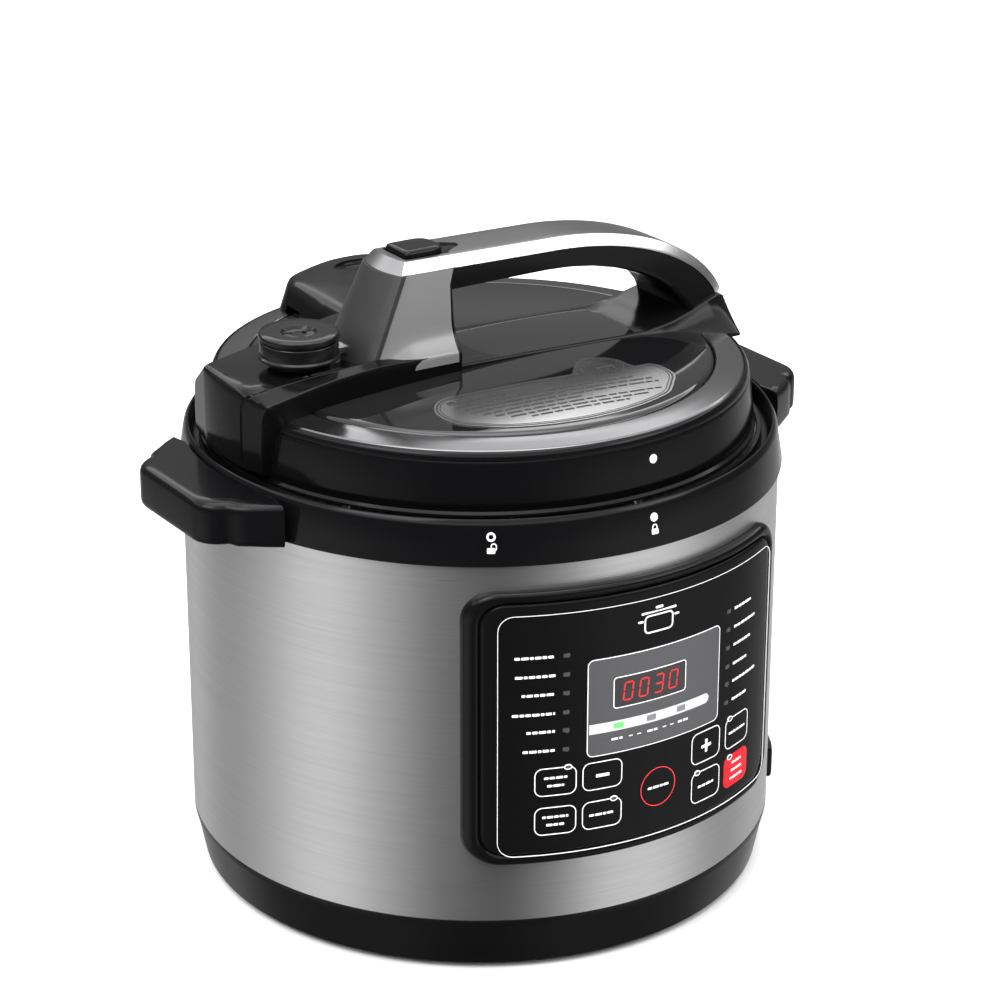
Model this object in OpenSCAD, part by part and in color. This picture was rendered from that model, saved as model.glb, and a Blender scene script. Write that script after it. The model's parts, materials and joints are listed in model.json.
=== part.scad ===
/* [Body] */
// Outside diameter of the brushed steel shell
body_d = 305; // [300:1:310]
// Height of the black base ring above the feet
base_h = 27; // [26:0.5:28]
// Height of the exposed steel between the base ring and the collar
shell_h = 188.5; // [187:0.5:190]
// Height of the black collar round the mouth
collar_h = 22.5; // [22:0.5:23]
// Height of the rubber feet
foot_h = 3; // [2.5:0.5:4]

/* [Lid] */
// Outside radius of the lid's black band at its lower edge
band_r = 139; // [138:0.5:140]
// Height of the lid's black band
band_h = 23; // [22:0.5:24]
// Rise of the dome from its rim to its middle
dome_rise = 4.7; // [4:0.1:5.5]
// Angle from the locked to the unlocked mark
lock_angle = 30; // [30, 36]

/* [Lid handle] */
// Half width of the grip bar
grip_half_w = 18; // [17:0.5:19]
// Height of the grip's top above the dome's rim
grip_rise = 59; // [58:0.5:60]
// Thickness of the silver cap on the grip
cap_t = 6; // [5:0.5:7]
// Travel of the steam release button
button_travel = 4; // [3:0.5:4]

/* [Control panel] */
// Width of the panel bezel, measured straight across
panel_w = 182; // [180:1:184]
// Height of the panel bezel
panel_h = 144; // [142:1:146]
// Travel of the panel keys
key_travel = 0.6; // [0.4:0.1:0.6]

/* [Inner pot] */
// Inside radius of the removable pot
pot_r = 120.4; // [120:0.1:120.4]
// Wall thickness of the removable pot
pot_t = 1.6; // [1.2:0.1:1.6]

/* [Hidden] */
$fn = 96;

// Heights stacked from the floor
body_r = body_d / 2;
shell_z = foot_h + base_h;
collar_z = shell_z + shell_h;
collar_top = collar_z + collar_h;
band_z = collar_top + 1.3;
band_top = band_z + band_h;
annulus_z = band_top + 4;
dome_z = annulus_z + 2.5;
shell_t = 1;

// Parts round the inner pot
ledge_z = collar_z + 7.5;
ring_top = ledge_z + 10.5;
pot_floor = 62;
pot_rim_r = 127;
housing_r = 126;
sensor_r = 18;
plate_top = pot_floor - 0.3;

// Bayonet lugs, shared by the ring and the lid plate
lug_count = 180 / lock_angle;
ring_lug_half = lock_angle / 2 - 1;
lid_lug_half = lock_angle / 2 - 2;
lug_z = ledge_z + 7.5;
lid_lug_r = 135.5;
skirt_r = 130.5;
plate_z = band_z - 1.5;

// Control panel surfaces, as radii from the cooker's axis
panel_z = 134.5;
face_r = 158.3;
bezel_w = 6;
backing_r = 155.6;
board_r = 153;
panel_corner = 15;
clear = 0.3;
key_proud = 0.3;
seat_gap = 0.05;

// Key: distance round the face from the middle, height, width, height of key, corner radius
KEYS = [
    [-54, 107, 22, 16, 4.5],
    [-54, 86, 22, 16, 4.5],
    [-30, 107, 22, 16, 4.5],
    [-30, 86, 22, 16, 4.5],
    [1.5, 93.5, 22, 22, 11],
    [33, 106, 22, 18, 4.5],
    [33.5, 84.5, 22, 18, 4.5],
    [58.5, 105.5, 22, 18, 4.5],
    [59, 84, 22, 18, 4.5]
];
window_w = 78;
window_h = 50;
window_z = 143;
label_z = 173;
label_pitch = 9.9;
label_led_arc = 48.5;

// Lid handle curve: an ellipse past grip_x0 and a nearly level line before it
grip_x0 = 30;
grip_a = 114;
grip_slope = 0.02;
opening_a = 85;
opening_h = 42.1;
grip_front = -61;
grip_end_z = dome_z + 11;
pillar_back = -25;
wing_r = 146;
wing_half = 30;
wing_top = dome_z + 12.5;
base_half = 27;
valve_x = -105;
pipe_top = 296;
lever_x = -62;
lever_z = 291;
button_x = -38;
button_z = 326.6;
float_x = -30;
float_y = 95;

// --- Helpers ---------------------------------------------------------------

// Straight ring from z0 to z1
module tube(ro, ri, z0, z1) {
    translate([0, 0, z0])
        difference() {
            cylinder(r = ro, h = z1 - z0);
            translate([0, 0, -1])
                cylinder(r = ri, h = z1 - z0 + 2);
        }
}

// Solid disc from z0 to z1
module disc(r, z0, z1) {
    translate([0, 0, z0])
        cylinder(r = r, h = z1 - z0);
}

// Rectangle with round corners, centred
module round_rect(w, h, r) {
    square([w - 2 * r, h], center = true);
    square([w, h - 2 * r], center = true);
    for (x = [-1, 1], y = [-1, 1])
        translate([x * (w / 2 - r), y * (h / 2 - r)])
            circle(r = r, $fn = 32);
}

// Extrudes an X-Z outline towards -Y, from y0 to y1 in front of the axis
module facing(y0, y1) {
    rotate([90, 0, 0])
        translate([0, 0, y0])
            linear_extrude(y1 - y0)
                children();
}

// Extrudes an X-Z outline across Y, to half on each side
module across(half) {
    rotate([90, 0, 0])
        linear_extrude(2 * half, center = true)
            children();
}

// Extrudes a Y-Z outline along X, from x0 to x1
module along_x(x0, x1) {
    translate([x0, 0, 0])
        rotate([90, 0, 90])
            linear_extrude(x1 - x0)
                children();
}

// Turns a piece modelled at the front round to a distance measured on the panel face
module on_face(arc) {
    rotate([0, 0, arc / face_r * 180 / PI])
        children();
}

// Wedge-shaped sector reaching past every ring, centred on an angle from +X
module sector(angle, half, z0, z1) {
    reach = 200;
    translate([0, 0, z0])
        rotate([0, 0, angle])
            linear_extrude(z1 - z0)
                polygon([[0, 0], [reach * cos(half), -reach * sin(half)], [reach, 0],
                         [reach * cos(half), reach * sin(half)]]);
}

// Pan-head screw, head underneath, shank pointing up
module screw(r, length, head_r, head_h) {
    translate([0, 0, -head_h])
        cylinder(r = head_r, h = head_h, $fn = 32);
    cylinder(r = r, h = length, $fn = 32);
}

// Stack of separate turns standing for a coil spring
module coil(r, wire_r, z0, z1, turns) {
    for (i = [0 : turns - 1])
        translate([0, 0, z0 + wire_r + i * (z1 - z0 - 2 * wire_r) / (turns - 1)])
            rotate_extrude($fn = 32)
                translate([r, 0])
                    circle(r = wire_r, $fn = 16);
}

// --- Base ------------------------------------------------------------------

foot_ring = 125;
board_z = 20;
board_t = 1.6;
cover_r = 72;
cover_screw_r = 67;

// Corners of the board's screw posts
POSTS = [[-106, -42], [-106, 42], [-50, -42], [-50, 42]];

inlet_angle = 62;
inlet_z = 42;

// Outline of the inlet's body behind its flange
module inlet_body(grow) {
    translate([0, inlet_z])
        round_rect(27 + 2 * grow, 18.6 + 2 * grow, 2.5 + grow);
}

module base_housing() {
    wall = 3;
    top_r = body_r;
    low_r = body_r - 5.2;
    floor_top = foot_h + 4;
    color([0.05, 0.05, 0.05])
        difference() {
            union() {
                rotate_extrude($fn = 128)
                    polygon([[60, foot_h], [low_r - 1, foot_h], [low_r, foot_h + 1],
                             [top_r, shell_z], [top_r - shell_t - 0.1, shell_z],
                             [top_r - shell_t - 0.1, shell_z + 6], [top_r - wall - 1, shell_z + 6],
                             [low_r - wall, floor_top], [60, floor_top]]);
                for (p = POSTS)
                    translate([p[0], p[1], floor_top - 1]) {
                        cylinder(r = 3.5, h = board_z - floor_top + 1, $fn = 32);
                        cylinder(r = 1.55, h = board_z + board_t - floor_top + 2, $fn = 32);
                    }
            }
            rotate([0, 0, inlet_angle])
                facing(130, 170)
                    inlet_body(0.3);
            disc(cover_r + 0.2, foot_h - 1, foot_h + 2);
            for (a = [45 : 90 : 315])
                rotate([0, 0, a]) {
                    translate([foot_ring, 0, foot_h - 1])
                        cylinder(r = 4.05, h = 8, $fn = 32);
                    translate([cover_screw_r, 0, foot_h - 1])
                        cylinder(r = 1.55, h = 8, $fn = 32);
                }
            for (a = [0 : 15 : 345])
                if (a % 45 != 0)
                    rotate([0, 0, a])
                        translate([85, -2, foot_h - 1])
                            cube([34, 4, 8]);
        }
}

module base_cover() {
    color([0.6, 0.6, 0.62])
        difference() {
            disc(cover_r, foot_h, foot_h + 2);
            for (a = [45 : 90 : 315])
                rotate([0, 0, a])
                    translate([cover_screw_r, 0, foot_h - 1])
                        cylinder(r = 1.7, h = 4, $fn = 32);
            for (a = [0 : 30 : 330])
                rotate([0, 0, a])
                    translate([25, -2, foot_h - 1])
                        cube([25, 4, 4]);
        }
}

module rubber_feet() {
    color([0.12, 0.12, 0.12])
        for (a = [45 : 90 : 315])
            rotate([0, 0, a])
                translate([foot_ring, 0, 0]) {
                    cylinder(r1 = 9, r2 = 10, h = foot_h, $fn = 32);
                    cylinder(r = 4, h = foot_h + 6, $fn = 32);
                }
}

module base_screws() {
    color([0.7, 0.7, 0.72])
        for (a = [45 : 90 : 315])
            rotate([0, 0, a])
                translate([cover_screw_r, 0, foot_h])
                    screw(1.5, 4, 3, 1.2);
}

module outer_shell() {
    color([0.72, 0.72, 0.74])
        difference() {
            tube(body_r, body_r - shell_t, shell_z, collar_z);
            facing(120, 170)
                translate([0, panel_z])
                    round_rect(156, 126, 8);
            rotate([0, 0, inlet_angle])
                facing(120, 170)
                    inlet_body(0.2);
        }
}

module collar_outline() {
    polygon([[body_r - 3.7, collar_z - 8.5], [body_r - 1.1, collar_z - 8.5],
             [body_r - 1.1, collar_z], [body_r + 1.7, collar_z], [body_r - 1.8, collar_top - 2],
             [body_r - 2.6, collar_top], [body_r - 3.7, collar_top], [body_r - 4.3, collar_top - 2],
             [body_r - 4.3, ledge_z + 4], [143.2, ledge_z + 4], [143.2, ring_top + 0.5],
             [140.6, ring_top + 0.5], [140.6, ledge_z], [131, ledge_z], [131, ledge_z - 7],
             [body_r - 3.7, ledge_z - 7]]);
}

module upper_collar() {
    color([0.04, 0.04, 0.04])
        difference() {
            rotate_extrude($fn = 128)
                collar_outline();
            for (side = [-1, 1], y = GRIP_SCREWS)
                translate([side * 128, y, grip_screw_z])
                    rotate([0, side * 90, 0]) {
                        cylinder(r = 1.7, h = 30, $fn = 32);
                        cylinder(r = 2.9, h = 11, $fn = 32);
                    }
            for (i = [0 : lug_count - 1])
                rotate([0, 0, (i + 0.5) * 360 / lug_count])
                    translate([ring_screw_r, 0, ledge_z - 8])
                        cylinder(r = 1.55, h = 12, $fn = 32);
        }
}

// Screws that hold the side grips, driven outwards from inside the collar
GRIP_SCREWS = [-30, 30];
grip_screw_z = collar_z + 4;
ring_screw_r = 138.2;

// Plan of a grip on the +X side, with its outer corners rounded
module grip_plan(inset) {
    outer = 180 - inset;
    half = 47 - inset;
    corner = 14;
    arc = [for (t = [0 : 15 : 75]) [outer - 2 - corner + corner * cos(t), half - 8 - corner + corner * sin(t)]];
    upper = concat(arc, [[160 - inset, half + 1], [128, 62 - inset]]);
    lower = [for (i = [len(upper) - 1 : -1 : 0]) [upper[i][0], -upper[i][1]]];
    polygon(concat(upper, lower, [[outer, -14], [outer, 14]]));
}

module side_handle() {
    top = collar_top - 2;
    bottom = collar_z - 1;
    difference() {
        translate([0, 0, bottom])
            linear_extrude(top - bottom)
                grip_plan(0);
        rotate_extrude($fn = 128)
            polygon([[0, bottom - 1], [body_r + seat_gap, bottom - 1], [body_r + seat_gap, collar_z - seat_gap],
                     [body_r + 1.7 + seat_gap, collar_z - seat_gap], [body_r - 1.8 + seat_gap, collar_top - 2],
                     [body_r - 1.8, collar_top], [0, collar_top]]);
        translate([0, 0, bottom - 1])
            intersection() {
                linear_extrude(14)
                    grip_plan(4);
                translate([158, -60, 0])
                    cube([30, 120, 14]);
            }
        for (y = GRIP_SCREWS)
            translate([134, y, grip_screw_z])
                rotate([0, 90, 0])
                    cylinder(r = 1.55, h = 22, $fn = 32);
    }
}

module right_side_handle() {
    color([0.04, 0.04, 0.04])
        side_handle();
}

module left_side_handle() {
    color([0.04, 0.04, 0.04])
        mirror([1, 0, 0])
            side_handle();
}

module side_handle_screws() {
    color([0.7, 0.7, 0.72])
        for (side = [-1, 1], y = GRIP_SCREWS)
            translate([side * 139, y, grip_screw_z])
                rotate([0, side * 90, 0])
                    screw(1.5, 16, 2.7, 1.6);
}

// --- Heating and pressure parts --------------------------------------------

module outer_pot() {
    t = 1;
    color([0.62, 0.62, 0.64])
        difference() {
            rotate_extrude($fn = 128)
                polygon([[94, 60], [housing_r, 60], [housing_r, ledge_z], [140.3, ledge_z],
                         [140.3, ledge_z + 1.5], [housing_r - t, ledge_z + 1.5],
                         [housing_r - t, 61], [94, 61]]);
            for (i = [0 : lug_count - 1])
                rotate([0, 0, (i + 0.5) * 360 / lug_count])
                    translate([ring_screw_r, 0, ledge_z - 1])
                        cylinder(r = 1.7, h = 4, $fn = 32);
        }
}

module bayonet_ring() {
    color([0.66, 0.66, 0.68])
        difference() {
            union() {
                tube(140.3, 136, ledge_z + 1.5, ring_top);
                intersection() {
                    tube(137, skirt_r + 0.4, lug_z, ring_top);
                    for (i = [0 : lug_count - 1])
                        sector(i * 360 / lug_count, ring_lug_half, lug_z - 1, ring_top + 1);
                }
            }
            for (i = [0 : lug_count - 1])
                rotate([0, 0, (i + 0.5) * 360 / lug_count])
                    translate([ring_screw_r, 0, ledge_z])
                        cylinder(r = 1.7, h = 14, $fn = 32);
        }
}

module bayonet_screws() {
    color([0.7, 0.7, 0.72])
        for (i = [0 : lug_count - 1])
            rotate([0, 0, (i + 0.5) * 360 / lug_count])
                translate([ring_screw_r, 0, ring_top])
                    mirror([0, 0, 1])
                        screw(1.5, 13, 2.3, 1.4);
}

module inner_pot() {
    rim_z = ledge_z + 1.7;
    wall_r = pot_r + pot_t;
    bend = 12;
    outer = [for (t = [270 : 15 : 360]) [wall_r - bend + bend * cos(t), pot_floor + bend + bend * sin(t)]];
    inner = [for (t = [360 : -15 : 270])
        [wall_r - bend + (bend - pot_t) * cos(t), pot_floor + bend + (bend - pot_t) * sin(t)]];
    color([0.75, 0.75, 0.77])
        rotate_extrude($fn = 128)
            polygon(concat([[0, pot_floor]], outer, [[wall_r, rim_z], [pot_rim_r, rim_z],
                    [pot_rim_r, rim_z + pot_t], [pot_r, rim_z + pot_t]], inner,
                    [[0, pot_floor + pot_t]]));
}

element_ring_r = 62;

module heating_plate() {
    color([0.6, 0.6, 0.6])
        difference() {
            rotate_extrude($fn = 128)
                polygon([[sensor_r + 2, 50], [92, 50], [92, plate_top], [sensor_r + 2, plate_top]]);
            rotate_extrude($fn = 96)
                translate([element_ring_r, 49])
                    circle(r = 4.05, $fn = 32);
        }
}

module heating_element() {
    color([0.35, 0.3, 0.28])
        union() {
            rotate_extrude($fn = 96)
                translate([element_ring_r, 49])
                    circle(r = 4, $fn = 32);
            for (y = [-8, 8])
                translate([element_ring_r, y, 36])
                    cylinder(r = 2.5, h = 12, $fn = 32);
        }
}

// Three-legged plate that hangs the heater from the outer pot
module spring_plate() {
    color([0.7, 0.7, 0.68])
        difference() {
            union() {
                disc(40, 40, 42);
                for (i = [0 : 2])
                    rotate([0, 0, i * 120 + 60]) {
                        translate([32, -7, 40])
                            cube([78, 14, 2]);
                        translate([106, 0, 42])
                            cylinder(r = 4, h = 18, $fn = 32);
                        translate([34, 0, 42])
                            cylinder(r = 4, h = 8, $fn = 32);
                    }
            }
            disc(8, 39, 43);
        }
}

module pressure_switch() {
    color([0.85, 0.84, 0.8])
        union() {
            translate([-12, -44, 28])
                cube([24, 14, 12]);
            for (x = [-8, 8])
                translate([x - 2.5, -41, 20])
                    cube([5, 0.8, 8]);
        }
}

module thermostat_sensor() {
    color([0.8, 0.8, 0.82])
        union() {
            disc(sensor_r, 58, plate_top);
            disc(10, 48, 58);
        }
}

module sensor_spring() {
    color([0.75, 0.75, 0.75])
        coil(13, 0.8, 42.2, 57.8, 6);
}

module power_board() {
    color([0.1, 0.35, 0.2])
        difference() {
            translate([-110, -46, board_z])
                cube([70, 92, board_t]);
            for (p = POSTS)
                translate([p[0], p[1], board_z - 1])
                    cylinder(r = 1.6, h = 4, $fn = 32);
        }
}

module power_relay() {
    color([0.1, 0.25, 0.6])
        translate([-70, -20, board_z + board_t])
            cube([24, 20, 15]);
}

module transformer() {
    color([0.8, 0.65, 0.2])
        union() {
            translate([-104, 8, board_z + board_t])
                cube([30, 26, 8]);
            translate([-100, 11, board_z + board_t + 8])
                cube([22, 20, 8]);
        }
}

// --- Control panel ---------------------------------------------------------

module panel_outline(inset) {
    translate([0, panel_z])
        round_rect(panel_w - 2 * inset, panel_h - 2 * inset, panel_corner - inset * 0.6);
}

module key_outline(i, grow) {
    k = KEYS[i];
    translate([0, k[1]])
        round_rect(k[2] + 2 * grow, k[3] + 2 * grow, min(k[4], k[3] / 2 - 0.01) + grow);
}

module window_outline(grow) {
    translate([0, window_z])
        round_rect(window_w + 2 * grow, window_h + 2 * grow, 3 + grow);
}

// Curved board behind the frame
module board_outline(grow) {
    translate([0, panel_z])
        square([146 + 2 * grow, 112 + 2 * grow], center = true);
}

// Hole that the display module looks out of
module module_opening() {
    translate([0, window_z])
        square([70, 42], center = true);
}

module panel_frame() {
    low = panel_z - panel_h / 2 - 1;
    high = panel_z + panel_h / 2 + 1;
    color([0.05, 0.05, 0.05])
        difference() {
            union() {
                intersection() {
                    tube(face_r - 1.2, body_r + seat_gap, low, high);
                    facing(110, 170)
                        panel_outline(0);
                }
                intersection() {
                    tube(face_r, body_r + seat_gap, low, high);
                    facing(110, 170)
                        panel_outline(1.5);
                }
            }
            difference() {
                facing(110, 170)
                    panel_outline(bezel_w);
                disc(backing_r, low, high);
            }
            intersection() {
                disc(board_r + seat_gap, low, high);
                facing(110, 170)
                    board_outline(0.2);
            }
            facing(110, 170)
                module_opening();
            for (i = [0 : len(KEYS) - 1])
                on_face(KEYS[i][0])
                    facing(140, 170)
                        translate([0, KEYS[i][1]])
                            circle(r = 3.4, $fn = 32);
            for (side = [-1, 1], row = [0 : 5])
                on_face(side * label_led_arc)
                    facing(140, 170)
                        translate([0, label_z - row * label_pitch])
                            circle(r = 1.4, $fn = 32);
        }
}

module panel_overlay() {
    low = panel_z - panel_h / 2;
    high = panel_z + panel_h / 2;
    color([0.02, 0.02, 0.02])
        difference() {
            intersection() {
                tube(face_r, backing_r + seat_gap, low, high);
                facing(110, 170)
                    panel_outline(bezel_w + 0.1);
            }
            facing(110, 170)
                window_outline(0.1);
            for (i = [0 : len(KEYS) - 1])
                on_face(KEYS[i][0])
                    facing(140, 170)
                        key_outline(i, clear);
            for (side = [-1, 1], row = [0 : 5])
                on_face(side * label_led_arc)
                    facing(140, 170)
                        translate([0, label_z - row * label_pitch])
                            circle(r = 1.2, $fn = 32);
        }
}

module display_window() {
    color([0.35, 0.35, 0.37])
        intersection() {
            tube(face_r, backing_r + seat_gap, window_z - window_h, window_z + window_h);
            facing(110, 170)
                window_outline(0);
        }
}

module led_display() {
    color([0.5, 0.08, 0.08])
        union() {
            translate([-25, -153.6, 142])
                cube([42, 7.3, 16]);
            translate([-30, -146.3, 122])
                cube([60, 1.6, 40]);
        }
}

module control_board() {
    low = panel_z - 58;
    high = panel_z + 58;
    color([0.1, 0.35, 0.2])
        difference() {
            intersection() {
                tube(board_r, board_r - 1, low, high);
                facing(110, 170)
                    board_outline(0);
            }
            facing(110, 170)
                module_opening();
        }
}

module tact_switches() {
    color([0.8, 0.8, 0.8])
        for (i = [0 : len(KEYS) - 1])
            on_face(KEYS[i][0])
                translate([0, -board_r, KEYS[i][1]])
                    rotate([90, 0, 0])
                        cylinder(r = 3, h = 1, $fn = 32);
}

module indicator_leds() {
    color([0.3, 0.05, 0.05])
        for (side = [-1, 1], row = [0 : 5])
            on_face(side * label_led_arc)
                translate([0, -board_r, label_z - row * label_pitch])
                    rotate([90, 0, 0])
                        cylinder(r = 1.1, h = face_r - board_r, $fn = 32);
}

// Key cap with a curved face, and the stem that reaches its switch
module key_cap(i) {
    k = KEYS[i];
    on_face(k[0])
        union() {
            intersection() {
                tube(face_r + key_proud, backing_r + 0.3 + key_travel, k[1] - 20, k[1] + 20);
                facing(140, 170)
                    key_outline(i, 0);
            }
            translate([0, -(board_r + 1.2 + key_travel), k[1]])
                rotate([90, 0, 0])
                    cylinder(r = 2.4, h = 3.2 - key_travel, $fn = 32);
        }
}

// --- Inlet and drip cup ----------------------------------------------------

// Depths of the socket, as distances from the cooker's axis
socket_mouth = body_r + 2.5;
socket_floor = body_r - 15;
pin_tip = body_r - 5;

module power_inlet() {
    color([0.05, 0.05, 0.05])
        rotate([0, 0, inlet_angle])
            difference() {
                union() {
                    difference() {
                        facing(body_r - 6, socket_mouth)
                            translate([0, inlet_z])
                                round_rect(32, 21, 5.5);
                        disc(body_r + seat_gap, 0, 90);
                    }
                    facing(socket_floor - 3, body_r + 1)
                        inlet_body(0);
                }
                facing(socket_floor, socket_mouth + 1)
                    inlet_body(-1.5);
                for (p = PINS)
                    facing(socket_floor - 4, socket_floor + 1)
                        translate([p[0], inlet_z + p[1]])
                            square([2.1, 4.1], center = true);
            }
}

// Centres of the three pins, across and up from the middle of the socket
PINS = [[-6.5, -1.5], [0, 1.5], [6.5, -1.5]];

module inlet_pins() {
    color([0.8, 0.7, 0.4])
        rotate([0, 0, inlet_angle])
            for (p = PINS)
                facing(socket_floor - 9, pin_tip)
                    translate([p[0], inlet_z + p[1]])
                        square([2, 4], center = true);
}

// Drip cup on the rear right; its bracket reaches as far back as the keys reach forward
cup_angle = -45;
cup_y = 156;
bracket_half = 34;
bracket_reach = (face_r + key_proud) * sqrt(2) - bracket_half;
cup_depth = bracket_reach - cup_y - 2;
cup_wall = 2;

module cup_bracket() {
    slot_y = cup_y - 0.5;
    color([0.06, 0.06, 0.06])
        rotate([0, 0, cup_angle])
            difference() {
                translate([-bracket_half, 140, 204])
                    cube([2 * bracket_half, bracket_reach - 140, 11]);
                disc(body_r + seat_gap, 200, 220);
                translate([-30.3, slot_y, 205.7])
                    cube([60.6, 50, 4.6]);
                translate([-27.3, slot_y, 200])
                    cube([54.6, 50, 8]);
                translate([0, cup_y + 13, 205])
                    cylinder(r = 3, h = 12, $fn = 32);
            }
}

module condensation_cup() {
    color([0.7, 0.72, 0.75])
        rotate([0, 0, cup_angle])
            difference() {
                union() {
                    translate([-26.5, cup_y, 158])
                        cube([53, cup_depth, 49]);
                    translate([-29.8, cup_y, 206.2])
                        cube([59.6, cup_depth, 3.4]);
                    translate([-14, cup_y + cup_depth - 1, 176])
                        cube([28, 6, 3]);
                }
                translate([cup_wall - 26.5, cup_y + cup_wall, 158 + cup_wall])
                    cube([53 - 2 * cup_wall, cup_depth - 2 * cup_wall, 60]);
            }
}

// --- Lid -------------------------------------------------------------------

// Height of the dome's surface at a radius
function dome_height(r) = dome_z + dome_rise * (1 - pow(r / 116, 2));

// Half section of everything the lid's top surface encloses, grown by a clearance
module lid_outline(grow) {
    dome = [for (r = [0 : 14.5 : 116]) [r, dome_height(r) + grow]];
    polygon(concat([[0, band_z - 1]], dome, [[117.2, dome_z + grow], [118.6, annulus_z + grow],
            [133.8, annulus_z + grow], [135.4 + grow, annulus_z - 0.6 + grow],
            [band_r - 2.6 + grow, band_top], [band_r + grow, band_z],
            [band_r + grow, band_z - 1]]));
}

module lid_cover() {
    t = 2;
    shell = [for (r = [116 : -14.5 : 0]) [r, dome_height(r) - t]];
    top = [for (r = [0 : 14.5 : 116]) [r, dome_height(r)]];
    color([0.06, 0.06, 0.07])
        difference() {
            union() {
                rotate_extrude($fn = 128)
                    polygon(concat(top, [[117.2, dome_z], [118.6, annulus_z], [133.6, annulus_z],
                            [133.6, annulus_z - t], [117, annulus_z - t]], shell));
                for (a = [15 : 60 : 315])
                    rotate([0, 0, a])
                        translate([108, 0, band_z])
                            cylinder(r = 4.5, h = dome_z - band_z - 0.5, $fn = 32);
            }
            for (a = [15 : 60 : 315])
                rotate([0, 0, a])
                    translate([108, 0, band_z - 1])
                        cylinder(r = 1.45, h = 16, $fn = 32);
            translate([valve_x, 0, 240])
                cylinder(r = 7.1, h = 60, $fn = 32);
            translate([float_x, float_y, 240])
                cylinder(r = 4, h = 60, $fn = 32);
        }
}

module lid_band() {
    t = 2.6;
    color([0.03, 0.03, 0.03])
        rotate_extrude($fn = 128)
            polygon([[128, band_z], [band_r, band_z], [band_r - 2.6, band_top],
                     [135.4, annulus_z - 0.6], [133.7, annulus_z - 0.6], [133.7, annulus_z - 2],
                     [band_r - 2.6 - t, band_top - 1], [band_r - t, band_z + 2.6], [128, band_z + 2.6]]);
}

module lid_plate() {
    color([0.7, 0.7, 0.72])
        difference() {
            union() {
                disc(skirt_r, plate_z, band_z);
                tube(skirt_r, skirt_r - 1.5, ledge_z + 3.3, band_z);
                intersection() {
                    tube(lid_lug_r, skirt_r - 1, ledge_z + 3.3, lug_z - 0.4);
                    for (i = [0 : lug_count - 1])
                        sector(i * 360 / lug_count, lid_lug_half, ledge_z, lug_z + 1);
                }
            }
            for (a = [15 : 60 : 315])
                rotate([0, 0, a])
                    translate([108, 0, plate_z - 1])
                        cylinder(r = 1.7, h = 5, $fn = 32);
            translate([valve_x, 0, plate_z - 1])
                cylinder(r = 5.05, h = 5, $fn = 32);
            translate([float_x, float_y, plate_z - 1])
                cylinder(r = 4, h = 5, $fn = 32);
        }
}

module sealing_ring() {
    color([0.85, 0.85, 0.82])
        rotate_extrude($fn = 128)
            polygon([[121, ledge_z + 3.7], [128.7, ledge_z + 3.7], [128.7, plate_z - 0.3],
                     [124.5, plate_z - 0.3], [124.5, plate_z - 3], [126.5, plate_z - 3],
                     [126.5, ledge_z + 6.5], [121, ledge_z + 6.5]]);
}

module seal_rack() {
    color([0.75, 0.75, 0.77])
        rotate_extrude($fn = 96)
            translate([123.2, ledge_z + 8.1])
                circle(r = 1.5, $fn = 24);
}

module exhaust_pipe() {
    color([0.8, 0.8, 0.82])
        translate([valve_x, 0, 0])
            difference() {
                union() {
                    disc(7, band_z, band_z + 4);
                    disc(5, plate_z - 3, pipe_top);
                    disc(8, plate_z - 3, plate_z);
                }
                disc(1.8, plate_z - 5, pipe_top + 2);
            }
}

module anti_block_shield() {
    color([0.75, 0.75, 0.77])
        translate([valve_x, 0, 0])
            difference() {
                disc(10.5, plate_z - 13, plate_z - 0.01);
                disc(9.5, plate_z - 12, plate_z + 1);
                for (a = [0 : 45 : 315])
                    rotate([0, 0, a])
                        translate([5, -1.2, plate_z - 10])
                            cube([10, 2.4, 5]);
            }
}

// --- Lid handle ------------------------------------------------------------

// Point on the grip's top curve, inset towards the middle
function grip_curve(t, inset) =
    [grip_x0 + (grip_a - inset) * cos(t), dome_z + (grip_rise - inset) * sin(t)];

// Angle at which the curve comes down to the tail
function grip_end(inset) = asin((grip_end_z - dome_z) / (grip_rise - inset));

// Height of the straight front stretch of the curve
function front_z(inset) = dome_z + grip_rise - inset + grip_slope * (grip_x0 - grip_front);

function curve_points(inset, steps) =
    [for (i = [0 : steps]) grip_curve(90 - (90 - grip_end(inset)) * i / steps, inset)];

module handle_cap() {
    outer = curve_points(0, 18);
    inner = curve_points(cap_t, 18);
    back = [for (i = [len(inner) - 1 : -1 : 0]) inner[i]];
    color([0.75, 0.75, 0.76])
        difference() {
            across(grip_half_w)
                polygon(concat([[grip_front + 3, front_z(0)]], outer, back,
                        [[grip_front, front_z(cap_t)]]));
            translate([button_x - 12.5, -11, 318])
                cube([25, 22, 30]);
        }
}

module finger_opening() {
    polygon(concat([[pillar_back, dome_z + 6], [pillar_back, dome_z + opening_h]],
                   [for (a = [90 : -10 : 10])
                       [grip_x0 + opening_a * cos(a), dome_z + opening_h * sin(a)]],
                   [[grip_x0 + opening_a, dome_z + 6]]));
}

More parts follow.
